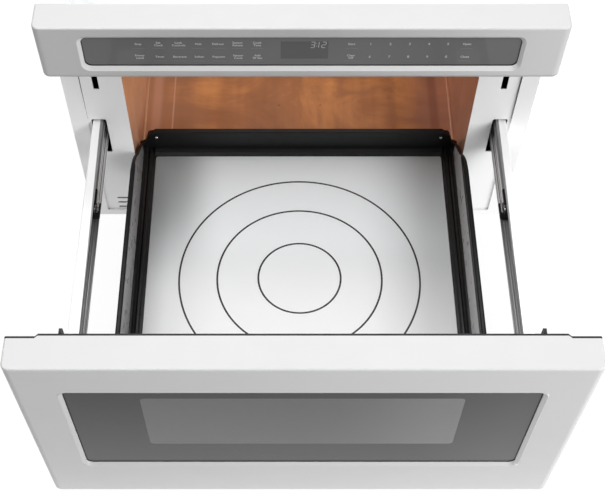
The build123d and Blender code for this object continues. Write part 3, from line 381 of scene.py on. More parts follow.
def gloss_black():
    """Black porcelain on the drawer's walls, satin black on the rim; the inner face is painted grey as a painted
    reflection, with painted shade darkening it towards the rear, and lighter on the right-hand wall.
    """
    m = Mat("black_porcelain", Specular_IOR_Level=0.24)
    cloud = m.noise(16.0, 3.0)
    ax = m.math("ABSOLUTE", m.axis(0))
    inner = m.span(ax, 0.2136, 0.2140, 1.0, 0.0)
    inner = m.math("MULTIPLY", inner, m.span(m.axis(1), WALL_END - 0.0004, WALL_END + 0.0004, 1.0, 0.0))
    side = m.span(m.axis(0), -0.05, 0.05, 0.1640, 0.1535)
    inner = m.math("MULTIPLY", inner, m.span(m.math("SUBTRACT", m.axis(2), side), -0.0012, 0.0004, 1.0, 0.0))
    black = m.ramp(cloud, [(0.3, (0.0050, 0.0050, 0.0053)), (0.7, (0.0080, 0.0080, 0.0084))])
    # painted reflection on the inner face: light grey at the front, darkening towards the rear as painted shade
    run = m.math("ADD", m.math("MULTIPLY", m.axis(1), 1 / 0.44), 0.70 / 0.44)
    tone = m.ramp(run, [(0.05, (0.56, 0.56, 0.563)), (0.55, (0.37, 0.37, 0.372)), (0.98, (0.13, 0.13, 0.131))])
    # painted light: the right-hand wall's inner face is lighter than the left
    tone = m.mix(m.span(m.axis(0), -0.05, 0.05, 0.02, 0.32), tone, (0.90, 0.90, 0.90))
    grey = m.mix(1.0, tone, m.ramp(m.noise(11.0, 3.0, 0.5, (1.0, 0.35, 1.0)), [(0.3, (0.94, 0.94, 0.94)), (0.7, (1, 1, 1))]), "MULTIPLY")
    m.color(m.mix(inner, black, grey))
    base = m.span(m.noise(60.0, 3.0), 0.3, 0.7, 0.42, 0.52)
    m.rough(m.math("SUBTRACT", base, m.math("MULTIPLY", inner, 0.16)))
    return m.m


def glazed_tray():
    """Glazed ceramic with specks under the glaze; its white carries painted shade: white in the middle, darker towards
    the walls and the rear, with a painted shadow at the rear left and a fainter one at the rear right, and a little
    bluer towards the rear.
    """
    m = Mat("glazed_ceramic", Specular_IOR_Level=0.30)
    x, y = m.axis(0), m.axis(1)
    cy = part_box("drawer_front")[0].y + 0.2538
    dy = m.math("SUBTRACT", y, cy)
    r = m.math("SQRT", m.math("ADD", m.math("POWER", x, 2.0), m.math("POWER", dy, 2.0)))
    # painted shade: darker away from the middle, towards the walls and the rear
    tray_shade_and_specks = m.span(r, 0.02, 0.20, 0.945, 0.930)
    tray_shade_and_specks = m.math("MULTIPLY", tray_shade_and_specks, m.span(x, 0.07, 0.205, 1.0, 0.67))
    tray_shade_and_specks = m.math("MULTIPLY", tray_shade_and_specks, m.span(x, -0.205, -0.09, 0.77, 1.0))
    tray_shade_and_specks = m.math("MULTIPLY", tray_shade_and_specks, m.span(dy, 0.09, 0.19, 1.0, 0.97))
    # painted shadow at the rear left, and a fainter one at the rear right
    corner_shadow = m.math("MULTIPLY", m.span(x, -0.19, -0.085, 1.0, 0.0), m.span(dy, -0.06, 0.15))
    tray_shade_and_specks = m.math("MULTIPLY", tray_shade_and_specks, m.span(corner_shadow, 0.0, 1.0, 1.0, 0.44))
    corner_shadow = m.math("MULTIPLY", m.span(x, 0.08, 0.20), m.span(dy, 0.02, 0.17))
    tray_shade_and_specks = m.math("MULTIPLY", tray_shade_and_specks, m.span(corner_shadow, 0.0, 1.0, 1.0, 0.90))
    tray_shade_and_specks = m.math("MULTIPLY", tray_shade_and_specks, m.span(m.noise(640.0, 0.0), 0.80, 0.86, 1.0, 0.95))
    cool = m.mix(m.span(dy, -0.06, 0.17), (0.985, 0.993, 1.0), (0.905, 0.968, 1.0))
    n = m.nt.nodes.new("ShaderNodeCombineColor")
    for i in range(3):
        m.link(tray_shade_and_specks, n.inputs[i])
    m.color(m.mix(1.0, n.outputs[0], cool, "MULTIPLY"))
    m.rough(m.span(m.noise(38.0, 3.0), 0.3, 0.7, 0.40, 0.48))
    m.normal(m.bump(m.noise(60.0, 1.0), 0.02, 4e-5))
    return m.m


def fronts_glass(name, frit, rects, dots=False, spec=0.42):
    """Dark glass with a printed border behind it. rects: (x0, x1, z0, z1, colour) areas left in the print."""
    m = Mat(name, Specular_IOR_Level=spec)
    wave = m.noise(5.0, 2.0, 0.4)
    col = m.ramp(wave, [(0.3, tint(frit, 0.93)), (0.7, tint(frit, 1.05))])
    if dots:
        # the border is painted lighter towards the right-hand end: a painted reflection
        col = m.mix(m.span(m.axis(0), 0.10, 0.25, 0.0, 0.55), col, (0.105, 0.105, 0.105))
    for x0, x1, z0, z1, c in rects:
        area = round_rect(m, x1, z0, z1, 0.0050) if dots else m.rect(0, x0, x1, 2, z0, z1)
        if dots:
            # fine staggered perforation of the screen behind the glass
            n = m.nt.nodes.new("ShaderNodeTexVoronoi")
            n.feature = "F1"
            n.inputs["Scale"].default_value = 620.0
            n.inputs["Randomness"].default_value = 0.0
            m.link(m.pos((1, 0, 1), (0, math.radians(45), 0)), n.inputs["Vector"])
            hole = m.span(n.outputs["Distance"], 0.26, 0.42)
            inside = m.mix(hole, tint(c, 0.45), tint(c, 1.35))
            # painted light across the window: darker in the middle, lightest at the right-hand end
            tone = m.ramp(m.math("ADD", m.math("MULTIPLY", m.axis(0), 1 / 0.343), 0.5), [(0.05, (0.95, 0.95, 0.95)), (0.5, (0.88, 0.88, 0.88)), (0.98, (1.0, 1.0, 1.0))])
            inside = m.mix(1.0, inside, tone, "MULTIPLY")
            # painted reflection: the right-hand part of the window is lighter
            inside = m.mix(m.span(m.axis(0), 0.03, 0.17, 0.0, 0.10), inside, (0.60, 0.60, 0.60))
        else:
            inside = c
        col = m.mix(area, col, inside)
    # painted shadow gap: a dark band along the sides and the bottom of the glass
    if dots:
        clear = round_rect(m, 0.2500, 0.0898, 0.2900, 0.0075)
    else:
        clear = round_rect(m, 0.2498, 0.3452, 0.4000, 0.0075)
    col = m.mix(clear, (0.012, 0.012, 0.012) if dots else (0.030, 0.030, 0.030), col)
    m.color(col)
    m.rough(m.span(m.noise(22.0, 3.0), 0.3, 0.7, 0.035, 0.075))
    m.normal(m.bump(m.noise(3.2, 1.0), 0.05, 2e-4))
    return m.m


def board():
    """Circuit laminate with solder mask, tracks and pads."""
    m = Mat("circuit_laminate", Specular_IOR_Level=0.5, Roughness=0.4)
    tracks = m.cells(210.0, "DISTANCE_TO_EDGE", "Distance")
    mask = m.span(tracks, 0.03, 0.07)
    green = m.ramp(m.noise(25.0, 3.0), [(0.3, (0.010, 0.070, 0.028)), (0.7, (0.018, 0.105, 0.042))])
    m.color(m.mix(mask, (0.05, 0.22, 0.09), green))
    m.normal(m.bump(mask, 0.3, 6e-5))
    return m.m


def wound(name, c, axis, pitch, rough, metallic, spec=0.5):
    """Layers or windings: close parallel lines across one axis."""
    m = Mat(name, Metallic=metallic, Specular_IOR_Level=spec)
    s = m.math("SINE", m.math("MULTIPLY", m.axis(axis), 2 * math.pi / pitch))
    f = m.math("ADD", m.span(s, -1.0, 1.0, 0.0, 0.7), m.math("MULTIPLY", m.noise(120.0, 3.0), 0.3))
    m.color(m.ramp(f, [(0.1, tint(c, 0.55)), (0.8, tint(c, 1.15))]))
    m.rough(m.span(m.noise(70.0, 3.0), 0.3, 0.7, rough - 0.05, rough + 0.08))
    m.normal(m.bump(s, 0.5, 1.2e-4))
    return m.m


def clear_glass(name, c, rough):
    m = Mat(name, Transmission_Weight=0.9, IOR=1.5)
    m.color(m.ramp(m.noise(12.0, 2.0), [(0.3, tint(c, 0.96)), (0.7, c)]))
    m.rough(m.span(m.noise(26.0, 3.0), 0.3, 0.7, rough, rough + 0.04))
    m.normal(m.bump(m.noise(8.0, 1.0), 0.04, 2e-4))
    return m.m


def screen_sheet():
    """Black sheet with a staggered pattern of fine holes."""
    m = Mat("perforated_screen", Specular_IOR_Level=0.3)
    n = m.nt.nodes.new("ShaderNodeTexVoronoi")
    n.feature = "F1"
    n.inputs["Scale"].default_value = 620.0
    n.inputs["Randomness"].default_value = 0.0
    m.link(m.pos((1, 0, 1), (0, math.radians(45), 0)), n.inputs["Vector"])
    hole = m.span(n.outputs["Distance"], 0.26, 0.42)
    m.color(m.mix(hole, (0.001, 0.001, 0.001), (0.030, 0.030, 0.031)))
    m.rough(m.span(m.noise(60.0, 3.0), 0.3, 0.7, 0.4, 0.5))
    m.normal(m.bump(hole, 0.6, 1.5e-4))
    return m.m


mats["copper"] = copper_cavity()
mats["gloss_black"] = gloss_black()
mats["ceramic"] = glazed_tray()
mats["board"] = board()
mats["core"] = wound("laminated_core", (0.30, 0.30, 0.31), 1, 0.0010, 0.45, 0.8)
mats["coil"] = wound("enamelled_winding", (0.62, 0.26, 0.11), 2, 0.0012, 0.30, 0.9)
mats["lamp_glass"] = clear_glass("lamp_glass", (0.98, 0.95, 0.86), 0.06)
mats["window_glass"] = clear_glass("inner_window_glass", (0.55, 0.58, 0.58), 0.03)
mats["screen"] = screen_sheet()
mats["mica"] = moulded("mica_sheet", (0.52, 0.46, 0.36), 0.5, 0.4, 260.0, 0.15, 0.12)
mats["loom"] = wound("bundled_wire", (0.030, 0.030, 0.034), 1, 0.0045, 0.5, 0.0, 0.4)
# control glass: print with a painted shadow gap; door glass: print with painted reflections and a painted shadow gap
mats["control_glass"] = fronts_glass("control_glass_print_and_painted_shadow", (0.137, 0.137, 0.138), [(-0.0236, 0.0310, 0.3549, 0.3827, (0.100, 0.100, 0.101))], spec=0.10)
mats["door_glass"] = fronts_glass("door_glass_print_and_painted_light", (0.045, 0.045, 0.045), [(-0.1715, 0.1715, 0.1378, 0.2524, (0.140, 0.140, 0.140))], dots=True)

GIVE = {
    "matte_white": ["drawer_front"],
    "panel_white": ["control_fascia"],
    "enamel_white": ["front_flange", "face_plate"],
    "rail_white": ["slide_rail_left", "slide_rail_right"],
    "zinc": ["base_pan", "outer_wrap", "back_panel", "stirrer_housing", "slide_brackets"],
    "copper": ["oven_cavity"],
    "lamp_glass": ["cavity_lamp"],
    "mica": ["stirrer_cover"],
    "aluminium": ["stirrer_motor", "stirrer_wheel", "waveguide", "magnetron", "capacitor", "fan_motor"],
    "core": ["transformer_core"],
    "coil": ["transformer_coils"],
    "grey_resin": ["fan_housing", "fan_wheel", "drawer_motor", "drive_rack"],
    "board": ["power_board", "control_board"],
    "white_resin": ["drive_pinion", "interlock_plunger_left", "interlock_plunger_right"],
    "black_resin": ["interlock_switches", "cord_gland", "slide_stop_left", "slide_stop_right", "door_inner_frame",
                    "door_back_plate", "latch_hooks", "drawer_rear_wall", "drawer_base"],
    "control_glass": ["control_glass"],
    "door_glass": ["door_glass"],
    "screen": ["window_screen"],
    "window_glass": ["inner_window"],
    "gloss_black": ["drawer_side_left", "drawer_side_right"],
    "ceramic": ["ceramic_tray"],
    "loom": ["wiring_harness"],
    "screw": ["cabinet_screws", "drawer_screws"],
    "slide": ["ball_cage_outer_left", "ball_cage_outer_right", "ball_cage_inner_left", "ball_cage_inner_right"],
    "slide_inner": ["slide_fixed_left", "slide_fixed_right", "slide_middle_left", "slide_middle_right"],
    "slide_outer": ["drawer_member_left", "drawer_member_right"],
}
for key, names in GIVE.items():
    for n in names:
        slots = NODES[n].data.materials
        slots.clear()
        slots.append(mats[key])


# ------------------------------------------------------------------ added pieces
def piece(name, bm, body, material, smooth=False):
    me = bpy.data.meshes.new(name)
    bmesh.ops.recalc_face_normals(bm, faces=bm.faces)
    bm.to_mesh(me)
    bm.free()
    if smooth:
        for p in me.polygons:
            p.use_smooth = True
    o = bpy.data.objects.new(name, me)
    scene.collection.objects.link(o)
    me.materials.append(material)
    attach(o, body)
    return o


def printed(name, c):
    """Ink on glass or glaze, a little uneven; the same flat dark also paints the shadow along the flange joint."""
    m = Mat(name, Specular_IOR_Level=0.3)
    m.color(m.ramp(m.noise(900.0, 2.0), [(0.3, tint(c, 0.88)), (0.7, tint(c, 1.06))]))
    m.rough(m.span(m.noise(300.0, 2.0), 0.3, 0.7, 0.40, 0.55))
    return m.m


INK = printed("legend_ink", (0.45, 0.45, 0.45))
LINE_INK = printed("key_line_ink", (0.190, 0.190, 0.192))
SEGMENT = printed("display_segment", (0.40, 0.40, 0.40))
RING_INK = printed("ring_ink", (0.034, 0.034, 0.036))

CG_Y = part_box("control_glass")[0].y


def add_text(bm, words, x, z, size, y):
    """One line of text, centred, standing on an upright plane that faces -Y."""
    cu = bpy.data.curves.new("t", "FONT")
    cu.body = words
    cu.size = size
    cu.align_x = "CENTER"
    cu.align_y = "CENTER"
    cu.extrude = 0.00002
    cu.offset = 0.00009
    cu.resolution_u = 3
    o = bpy.data.objects.new("t", cu)
    scene.collection.objects.link(o)
    dg = bpy.context.evaluated_depsgraph_get()
    me = bpy.data.meshes.new_from_object(o.evaluated_get(dg))
    me.transform(Matrix.Translation((x, y, z)) @ Matrix.Rotation(math.radians(90), 4, "X"))
    bm.from_mesh(me)
    bpy.data.objects.remove(o)
    bpy.data.curves.remove(cu)
    bpy.data.meshes.remove(me)


def slab(bm, x0, x1, y0, y1, z0, z1, bevel=0.0):
    """A bar with chamfered edges."""
    r = bmesh.ops.create_cube(bm, size=1.0)
    vs = r["verts"]
    for v in vs:
        v.co = Vector(((x0 + x1) / 2 + v.co.x * (x1 - x0), (y0 + y1) / 2 + v.co.y * (y1 - y0), (z0 + z1) / 2 + v.co.z * (z1 - z0)))
    if bevel > 0:
        es = list({e for v in vs for e in v.link_edges})
        bmesh.ops.bevel(bm, geom=es, offset=bevel, segments=1, affect="EDGES")


LEFT = [(-186.0, ["Stop"], ["Power", "Level"]), (-163.0, ["Set", "Clock"], ["Timer"]), (-140.0, ["Lock", "Controls"], ["Beverage"]),
        (-117.5, ["Melt"], ["Soften"]), (-95.0, ["Defrost"], ["Popcorn"]), (-72.6, ["Sensor", "Reheat"], ["Sensor", "Cook"]),
        (-50.4, ["Cook", "Time"], ["Add", "30 Sec"])]
RIGHT = [(57.3, ["Start"], ["Clear", "Off"]), (79.1, ["1"], ["6"]), (101.5, ["2"], ["7"]), (123.5, ["3"], ["8"]),
         (145.4, ["4"], ["9"]), (167.2, ["5"], ["0"]), (188.7, ["Open"], ["Close"])]
text_bm = bmesh.new()
line_bm = bmesh.new()
for cols in (LEFT, RIGHT):
    for x, top, low in cols:
        for words, z in ((top, 378.3), (low, 357.9)):
            digit = words[0].isdigit()
            if digit:
                add_text(text_bm, words[0], x * MM, z * MM, 5.0 * MM, CG_Y - 0.00004)
            else:
                for i, w in enumerate(words):
                    dz = 0.0 if len(words) == 1 else (2.05 - 4.1 * i)
                    add_text(text_bm, w, x * MM, (z + dz) * MM, 4.25 * MM, CG_Y - 0.00004)
                zl = z - 6.8
                slab(line_bm, (x - 7.2) * MM, (x + 7.2) * MM, CG_Y - 0.00006, CG_Y, (zl - 0.22) * MM, (zl + 0.22) * MM)
piece("key_legends", text_bm, "chassis", INK)
piece("key_lines", line_bm, "chassis", LINE_INK)


def segment_digit(bm, x, z, w, h, on, y, t):
    """Seven-segment figure from slanted six-sided bars. on: letters a to g."""
    lean = 0.10
    half = h / 2
    gap = t * 0.18
    ends = {"a": ((0, h), (w, h)), "b": ((w, h), (w, half)), "c": ((w, half), (w, 0)), "d": ((0, 0), (w, 0)),
            "e": ((0, half), (0, 0)), "f": ((0, h), (0, half)), "g": ((0, half), (w, half))}
    for s in on:
        (ax, az), (bx, bz) = ends[s]
        d = Vector((bx - ax, bz - az)).normalized()
        n = Vector((-d.y, d.x))
        a = Vector((ax, az)) + d * gap
        b = Vector((bx, bz)) - d * gap
        ring = [a, a + (d + n) * t / 2, b + (n - d) * t / 2, b, b + (-n - d) * t / 2, a + (d - n) * t / 2]
        pts = [(x + p.x + lean * p.y, z + p.y) for p in ring]
        front = [bm.verts.new((px, y, pz)) for px, pz in pts]
        back = [bm.verts.new((px, y + 0.00006, pz)) for px, pz in pts]
        bm.faces.new(front)
        bm.faces.new(list(reversed(back)))
        for i in range(6):
            j = (i + 1) % 6
            bm.faces.new((front[j], front[i], back[i], back[j]))


seg_bm = bmesh.new()
DIG_Y = CG_Y - 0.00006
for x, on in ((10.4, "abgcd"), (19.0, "bc"), (23.2, "abged")):
    segment_digit(seg_bm, x * MM, 372.6 * MM, 4.4 * MM if on != "bc" else 0.6 * MM, 9.0 * MM, on, DIG_Y, 0.85 * MM)
for z in (375.2, 379.4):
    slab(seg_bm, 17.2 * MM, 18.0 * MM, DIG_Y, DIG_Y + 0.00006, (z - 0.4) * MM, (z + 0.4) * MM)
piece("display_time", seg_bm, "chassis", SEGMENT)


def band(bm, cx, cy, z0, z1, r, width, n=160):
    """A flat printed ring with thickness."""
    loops = []
    for rr, z in ((r - width / 2, z0), (r - width / 2 + 0.00004, z1), (r + width / 2 - 0.00004, z1), (r + width / 2, z0)):
        loops.append([bm.verts.new((cx + rr * math.cos(2 * math.pi * k / n), cy + rr * math.sin(2 * math.pi * k / n), z)) for k in range(n)])
    for i in range(4):
        a, b = loops[i], loops[(i + 1) % 4]
        for k in range(n):
            j = (k + 1) % n
            bm.faces.new((a[k], a[j], b[j], b[k]))


tray_lo, tray_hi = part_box("ceramic_tray")
ring_bm = bmesh.new()
RING_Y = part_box("drawer_front")[0].y + 0.2538
for r in (53.0, 105.9, 154.9):
    band(ring_bm, 0.0, RING_Y, tray_hi.z - 0.00002, tray_hi.z + 0.00005, r * MM, 2.45 * MM)
piece("tray_rings", ring_bm, "drawer", RING_INK)


def rounded(hx, hz, r, steps=8):
    """Corner-rounded rectangle about 0, 0, anticlockwise."""
    pts = []
    for cx, cz, a0 in ((hx - r, hz - r, 0), (-hx + r, hz - r, 90), (-hx + r, -hz + r, 180), (hx - r, -hz + r, 270)):
        for k in range(steps + 1):
            a = math.radians(a0 + 90 * k / steps)
            pts.append((cx + r * math.cos(a), cz + r * math.sin(a)))
    return pts


def gasket(name, body, y, x, z, hx, hz, r, width, height):
    """Thin black bead between a glass and its bevel, with a rounded top."""
    bm = bmesh.new()
    prof = [(0.0, 0.0), (0.0, height * 0.7), (width * 0.3, height), (width * 0.7, height), (width, height * 0.7), (width, 0.0)]
    loops = []
    for off, up in prof:
        loops.append([bm.verts.new((x + px, y - up, z + pz)) for px, pz in rounded(hx - off, hz - off, max(r - off, 0.0005))])
    n = len(loops[0])
    for i in range(len(loops)):
        a, b = loops[i], loops[(i + 1) % len(loops)]
        for k in range(n):
            j = (k + 1) % n
            bm.faces.new((a[k], a[j], b[j], b[k]))
    return piece(name, bm, body, mats["black_resin"], smooth=False)


DG_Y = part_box("door_glass")[0].y
gasket("control_glass_bead", "chassis", CG_Y, 0.0, (343.4 + 388.7) / 2 * MM, 0.2509, (388.7 - 343.4) / 2 * MM - 0.0001, 0.0074, 0.0007, 0.0003)
gasket("door_glass_bead", "drawer", DG_Y, 0.0, (86.5 + 269.6) / 2 * MM, 0.2509, (269.6 - 86.5) / 2 * MM - 0.0001, 0.0074, 0.0013, 0.0003)


def screw_head(bm, centre, r, h, facing, slot_depth, turn=0.0):
    """Pan head with a cross recess, as a fine radial height field. facing is +1 for +Y, -1 for -Y."""
    rings, seg = 14, 48
    cx, cy, cz = centre
    rows = []
    for i in range(rings + 1):
        q = i / rings
        row = []
        for k in range(seg):
            a = 2 * math.pi * k / seg
            u, v = q * r * math.cos(a), q * r * math.sin(a)
            up = h * math.sqrt(max(0.0, 1 - q ** 2.6)) if q < 1 else 0.0
            cu = u * math.cos(turn) + v * math.sin(turn)
            cv = -u * math.sin(turn) + v * math.cos(turn)
            arm, half = r * 0.58, r * 0.13
            inside = (abs(cu) < arm and abs(cv) < half) or (abs(cv) < arm and abs(cu) < half)
            if inside:
                up -= slot_depth * (1 - 0.6 * max(abs(cu), abs(cv)) / arm)
            row.append((u, up, v))
            if i == 0:
                break
        rows.append(row)
    verts = [[bm.verts.new((cx + u, cy + facing * up, cz + v)) for u, up, v in row] for row in rows]
    for k in range(seg):
        j = (k + 1) % seg
        bm.faces.new((verts[0][0], verts[1][k], verts[1][j]))
        for i in range(1, rings):
            bm.faces.new((verts[i][k], verts[i + 1][k], verts[i + 1][j], verts[i][j]))
    bm.faces.new(verts[-1])


cs = bmesh.new()
back_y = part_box("cabinet_screws")[0].y
turn = 0.3
for x in (-266, -90, 90, 266):
    for z in (10, 362):
        screw_head(cs, (x * MM, back_y, z * MM), 0.0036, 0.002, 1, 0.0012, turn)
        turn += 0.7
for x in (-266, 266):
    screw_head(cs, (x * MM, back_y, 0.186), 0.0036, 0.002, 1, 0.0012, turn)
    turn += 0.7
o = piece("cabinet_screw_heads", cs, "chassis", mats["screw"])
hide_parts("cabinet_screws")

ds = bmesh.new()
ds_lo, ds_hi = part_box("drawer_screws")
for x, t in ((-194.5, 0.5), (194.5, 1.1)):
    screw_head(ds, (x * MM, ds_hi.y, 0.1245), 0.0024, 0.0014, -1, 0.0009, t)
for s in (-1, 1):
    for z in (165, 190):
        screw_head(ds, (s * 0.277, ds_lo.y, z * MM), 0.0035, 0.0025, 1, 0.0012, 0.4 + z * 0.1)
o = piece("drawer_screw_heads", ds, "drawer", mats["screw"])
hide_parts("drawer_screws")

# painted shadow: a dark strip along the joint where the flange laps the face plate, widening towards the top under the
# control panel
fl_lo, fl_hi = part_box("front_flange")
JOINT_SHADOW = printed("joint_shadow_grey", (0.020, 0.020, 0.021))
for s, side in ((-1, "left"), (1, "right")):
    bm = bmesh.new()
    rows = []
    for k in range(41):
        z = 0.206 + (0.361 - 0.206) * k / 40
        w = 0.00028 + 0.00085 * min(1.0, max(0.0, (z - 0.215) / 0.10))
        y1 = fl_hi.y
        ring = [(0.0, 0.0), (-w, 0.0), (-w * 0.7, -w * 0.7), (0.0, -w)]
        rows.append([bm.verts.new((s * (0.27298 + dx), y1 - 0.00002 + dy, z)) for dx, dy in ring])
    for a, b in zip(rows, rows[1:]):
        for i in range(4):
            j = (i + 1) % 4
            bm.faces.new((a[i], a[j], b[j], b[i]))
    bm.faces.new(rows[0])
    bm.faces.new(list(reversed(rows[-1])))
    piece("flange_joint_shadow_" + side, bm, "chassis", JOINT_SHADOW)


def dome(bm, centre, normal, r, h, rings=6, seg=24):
    """Low rivet head standing on a surface."""
    n = Vector(normal).normalized()
    u = n.orthogonal().normalized()
    v = n.cross(u)
    c = Vector(centre)
    rows = []
    for i in range(rings + 1):
        a = math.pi / 2 * i / rings
        rr, up = r * math.cos(a), h * math.sin(a)
        if i == rings:
            rows.append([bm.verts.new(c + n * h)])
        else:
            rows.append([bm.verts.new(c + n * up + (u * math.cos(2 * math.pi * k / seg) + v * math.sin(2 * math.pi * k / seg)) * rr) for k in range(seg)])
    for a, b in zip(rows, rows[1:]):
        for k in range(seg):
            j = (k + 1) % seg
            if len(b) == 1:
                bm.faces.new((a[k], a[j], b[0]))
            else:
                bm.faces.new((a[k], a[j], b[j], b[k]))
    bm.faces.new(list(reversed(rows[0])))


def bent_strip(bm, path, across, half, t):
    """A strip of sheet that follows a path, half wide each side along `across`, t thick."""
    w = Vector(across).normalized()
    pts = [Vector(p) for p in path]
    rows = []
    for i, p in enumerate(pts):
        d = (pts[min(i + 1, len(pts) - 1)] - pts[max(i - 1, 0)]).normalized()
        n = d.cross(w).normalized()
        rows.append([bm.verts.new(p + w * a * half + n * b * t / 2) for a, b in ((-1, -1), (1, -1), (1, 1), (-1, 1))])
    for a, b in zip(rows, rows[1:]):
        for i in range(4):
            j = (i + 1) % 4
            bm.faces.new((a[i], a[j], b[j], b[i]))
    bm.faces.new(rows[0])
    bm.faces.new(list(reversed(rows[-1])))


mats["bright"] = sheet_metal("bright_rivet_steel", (0.84, 0.84, 0.845), 0.24, spangle=700.0, var=0.08)
st_lo, st_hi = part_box("slide_stop_right")
for s, side in ((-1, "left"), (1, "right")):
    bm = bmesh.new()
    y0 = st_lo.y
    # spring clip that holds the stop: a bent strip on the lower lip with two rivets, and a tongue on the web
    path = []
    for k in range(15):
        q = k / 14
        path.append((s * 0.2560, y0 + 0.0065 + 0.0190 * q, st_lo.z + 0.0040 + 0.00025 * math.sin(3 * math.pi * q) ** 2))
    bent_strip(bm, path, (1, 0, 0), 0.0014, 0.0004)
    for dy in (0.0095, 0.0215):
        dome(bm, (s * 0.2560, y0 + dy, st_lo.z + 0.0040), (0, 0, 1), 0.0017, 0.0005)
    for dy, dz in ((0.0080, 0.0100), (0.0145, 0.0118), (0.0205, 0.0135)):
        dome(bm, (s * 0.2581, y0 + dy, st_lo.z + dz), (-s, 0, 0), 0.0021, 0.0008)
    bent_strip(bm, [(s * 0.2578, y0 + 0.010 + 0.012 * k / 8, st_lo.z + 0.0082 + 0.0075 * (k / 8) ** 1.5) for k in range(9)], (0, -0.5, 1), 0.0011, 0.0004)
    piece("slide_stop_clip_" + side, bm, "middle_slide_" + side, mats["bright"], smooth=False)

# rivets on the cavity floor
bm = bmesh.new()
cav_lo, cav_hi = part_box("oven_cavity")
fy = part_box("control_fascia")[0].y
for x in (-0.027, 0.032):
    dome(bm, (x, fy + 0.178, 0.0780), (0, 0, 1), 0.0016, 0.0007)
piece("cavity_floor_rivets", bm, "chassis", mats["copper"], smooth=True)


def pressed_rib(bm, p0, p1, normal, half, height, steps=28, arc=8):
    """A pressed stiffening rib: half-round across, running out gently at both ends."""
    a, b = Vector(p0), Vector(p1)
    n = Vector(normal).normalized()
    d = (b - a).normalized()
    w = d.cross(n)
    length = (b - a).length
    rows = []
    for i in range(steps + 1):
        q = i / steps
        s = length * (0.5 - 0.5 * math.cos(math.pi * q))
        e = min(s, length - s) / (1.6 * half)
        k = math.sin(min(1.0, e) * math.pi / 2) * 0.96 + 0.04
        row = []
        for j in range(arc + 1):
            t = math.pi * j / arc
            row.append(bm.verts.new(a + d * s + w * (half * k * math.cos(t)) + n * (height * k * math.sin(t) ** 1.4)))
        rows.append(row)
    for r0, r1 in zip(rows, rows[1:]):
        for j in range(arc):
            bm.faces.new((r0[j], r0[j + 1], r1[j + 1], r1[j]))
        bm.faces.new((r0[0], r1[0], r1[arc], r0[arc]))
    bm.faces.new(rows[0])
    bm.faces.new(list(reversed(rows[-1])))


wr_lo, wr_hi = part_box("outer_wrap")
bp_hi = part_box("back_panel")[1]
ym, yb = (wr_lo.y + wr_hi.y) / 2, wr_hi.y
bm = bmesh.new()
for dy in (-0.190, -0.110, -0.030, 0.050):
    pressed_rib(bm, (-0.215, ym + dy, wr_hi.z - 0.0002), (0.215, ym + dy, wr_hi.z - 0.0002), (0, 0, 1), 0.0065, 0.0022)
for s in (-1, 1):
    for z in (0.070, 0.135, 0.320):
        pressed_rib(bm, (s * (wr_hi.x - 0.0002), wr_lo.y + 0.045, z), (s * (wr_hi.x - 0.0002), yb - 0.045, z), (s, 0, 0), 0.0065, 0.0022)
    pressed_rib(bm, (s * (wr_hi.x - 0.0002), wr_lo.y + 0.045, 0.230), (s * (wr_hi.x - 0.0002), yb - 0.225, 0.230), (s, 0, 0), 0.0065, 0.0022)
piece("case_ribs", bm, "chassis", mats["zinc"], smooth=True)

bm = bmesh.new()
fan_lo, fan_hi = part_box("fan_housing")
side = -1.0 if (fan_lo.x + fan_hi.x) > 0 else 1.0
for z in (0.060, 0.125, 0.190, 0.255):
    pressed_rib(bm, (side * 0.035, bp_hi.y - 0.0002, z), (side * 0.235, bp_hi.y - 0.0002, z), (0, 1, 0), 0.0060, 0.0020)
piece("back_panel_ribs", bm, "chassis", mats["zinc"], smooth=True)

# ------------------------------------------------------------------ floor, light, camera
bpy.ops.mesh.primitive_plane_add(size=14.0, location=(0, 0, 0.0))
floor = bpy.context.object
floor.name = "studio_floor"
fm = Mat("studio_floor_paper", Specular_IOR_Level=0.1, Emission_Strength=1.0)
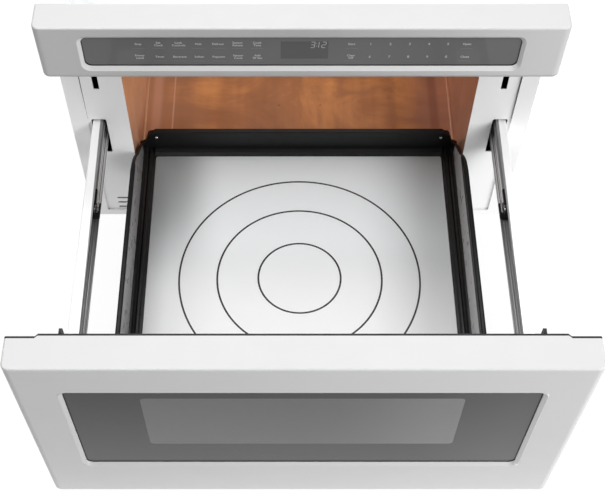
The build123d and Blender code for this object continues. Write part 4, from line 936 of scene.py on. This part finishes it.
# painted pool of light: the floor glows brighter under and around the object than further out
pad = fm.rect(0, -0.62, 0.62, 1, -0.80, 0.62, soft=0.10)
fm.link(fm.ramp(pad, [(0.0, (0.36, 0.36, 0.36)), (1.0, (0.90, 0.90, 0.90))]), fm.b.inputs["Emission Color"])
fm.color(fm.ramp(fm.noise(3.0, 2.0), [(0.3, (0.12, 0.12, 0.12)), (0.7, (0.13, 0.13, 0.13))]))
fm.b.inputs["Roughness"].default_value = 0.9
floor.data.materials.append(fm.m)

world = bpy.data.worlds.new("studio")
scene.world = world
world.use_nodes = True
bg = world.node_tree.nodes["Background"]
bg.inputs[0].default_value = (1, 1, 1, 1)
bg.inputs[1].default_value = 0.16


def area(name, loc, aim, size, watts):
    li = bpy.data.lights.new(name, "AREA")
    li.shape = "RECTANGLE"
    li.size, li.size_y = size
    li.energy = watts
    o = bpy.data.objects.new(name, li)
    scene.collection.objects.link(o)
    o.location = loc
    o.rotation_euler = (Vector(aim) - Vector(loc)).to_track_quat("-Z", "Y").to_euler()
    return o


area("overhead_rear", (0.2, 1.3, 2.9), (0.0, -0.2, 0.2), (2.2, 1.5), 58.0)
area("softbox_left", (-0.9, -0.6, 2.3), (0.0, -0.45, 0.15), (1.5, 1.2), 31.0)
area("softbox_right", (1.7, -1.75, 1.15), (0.0, -0.45, 0.15), (1.9, 1.5), 54.0)
lo_c, hi_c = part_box("oven_cavity")
inside = area("cavity_lamp_glow", (0.0, (lo_c.y + hi_c.y) / 2 + 0.02, hi_c.z - 0.010), (0.0, (lo_c.y + hi_c.y) / 2 + 0.02, 0.0), (0.34, 0.34), 0.34)
inside.data.color = (1.0, 0.93, 0.86)
inside.visible_camera = False

cam = bpy.data.cameras.new("camera")
cam_o = bpy.data.objects.new("camera", cam)
scene.collection.objects.link(cam_o)
cam.sensor_width = 36.0
cam.lens = 66.02
cam.shift_x = 0.0282
cam.shift_y = 0.0661
cam.clip_start, cam.clip_end = 0.05, 60.0
cam_o.location = (-0.01811, -1.22226, 1.30103)
cam_o.rotation_euler = (math.radians(32.003), 0.0, 0.0)
scene.camera = cam_o
scene.view_settings.view_transform = "Standard"
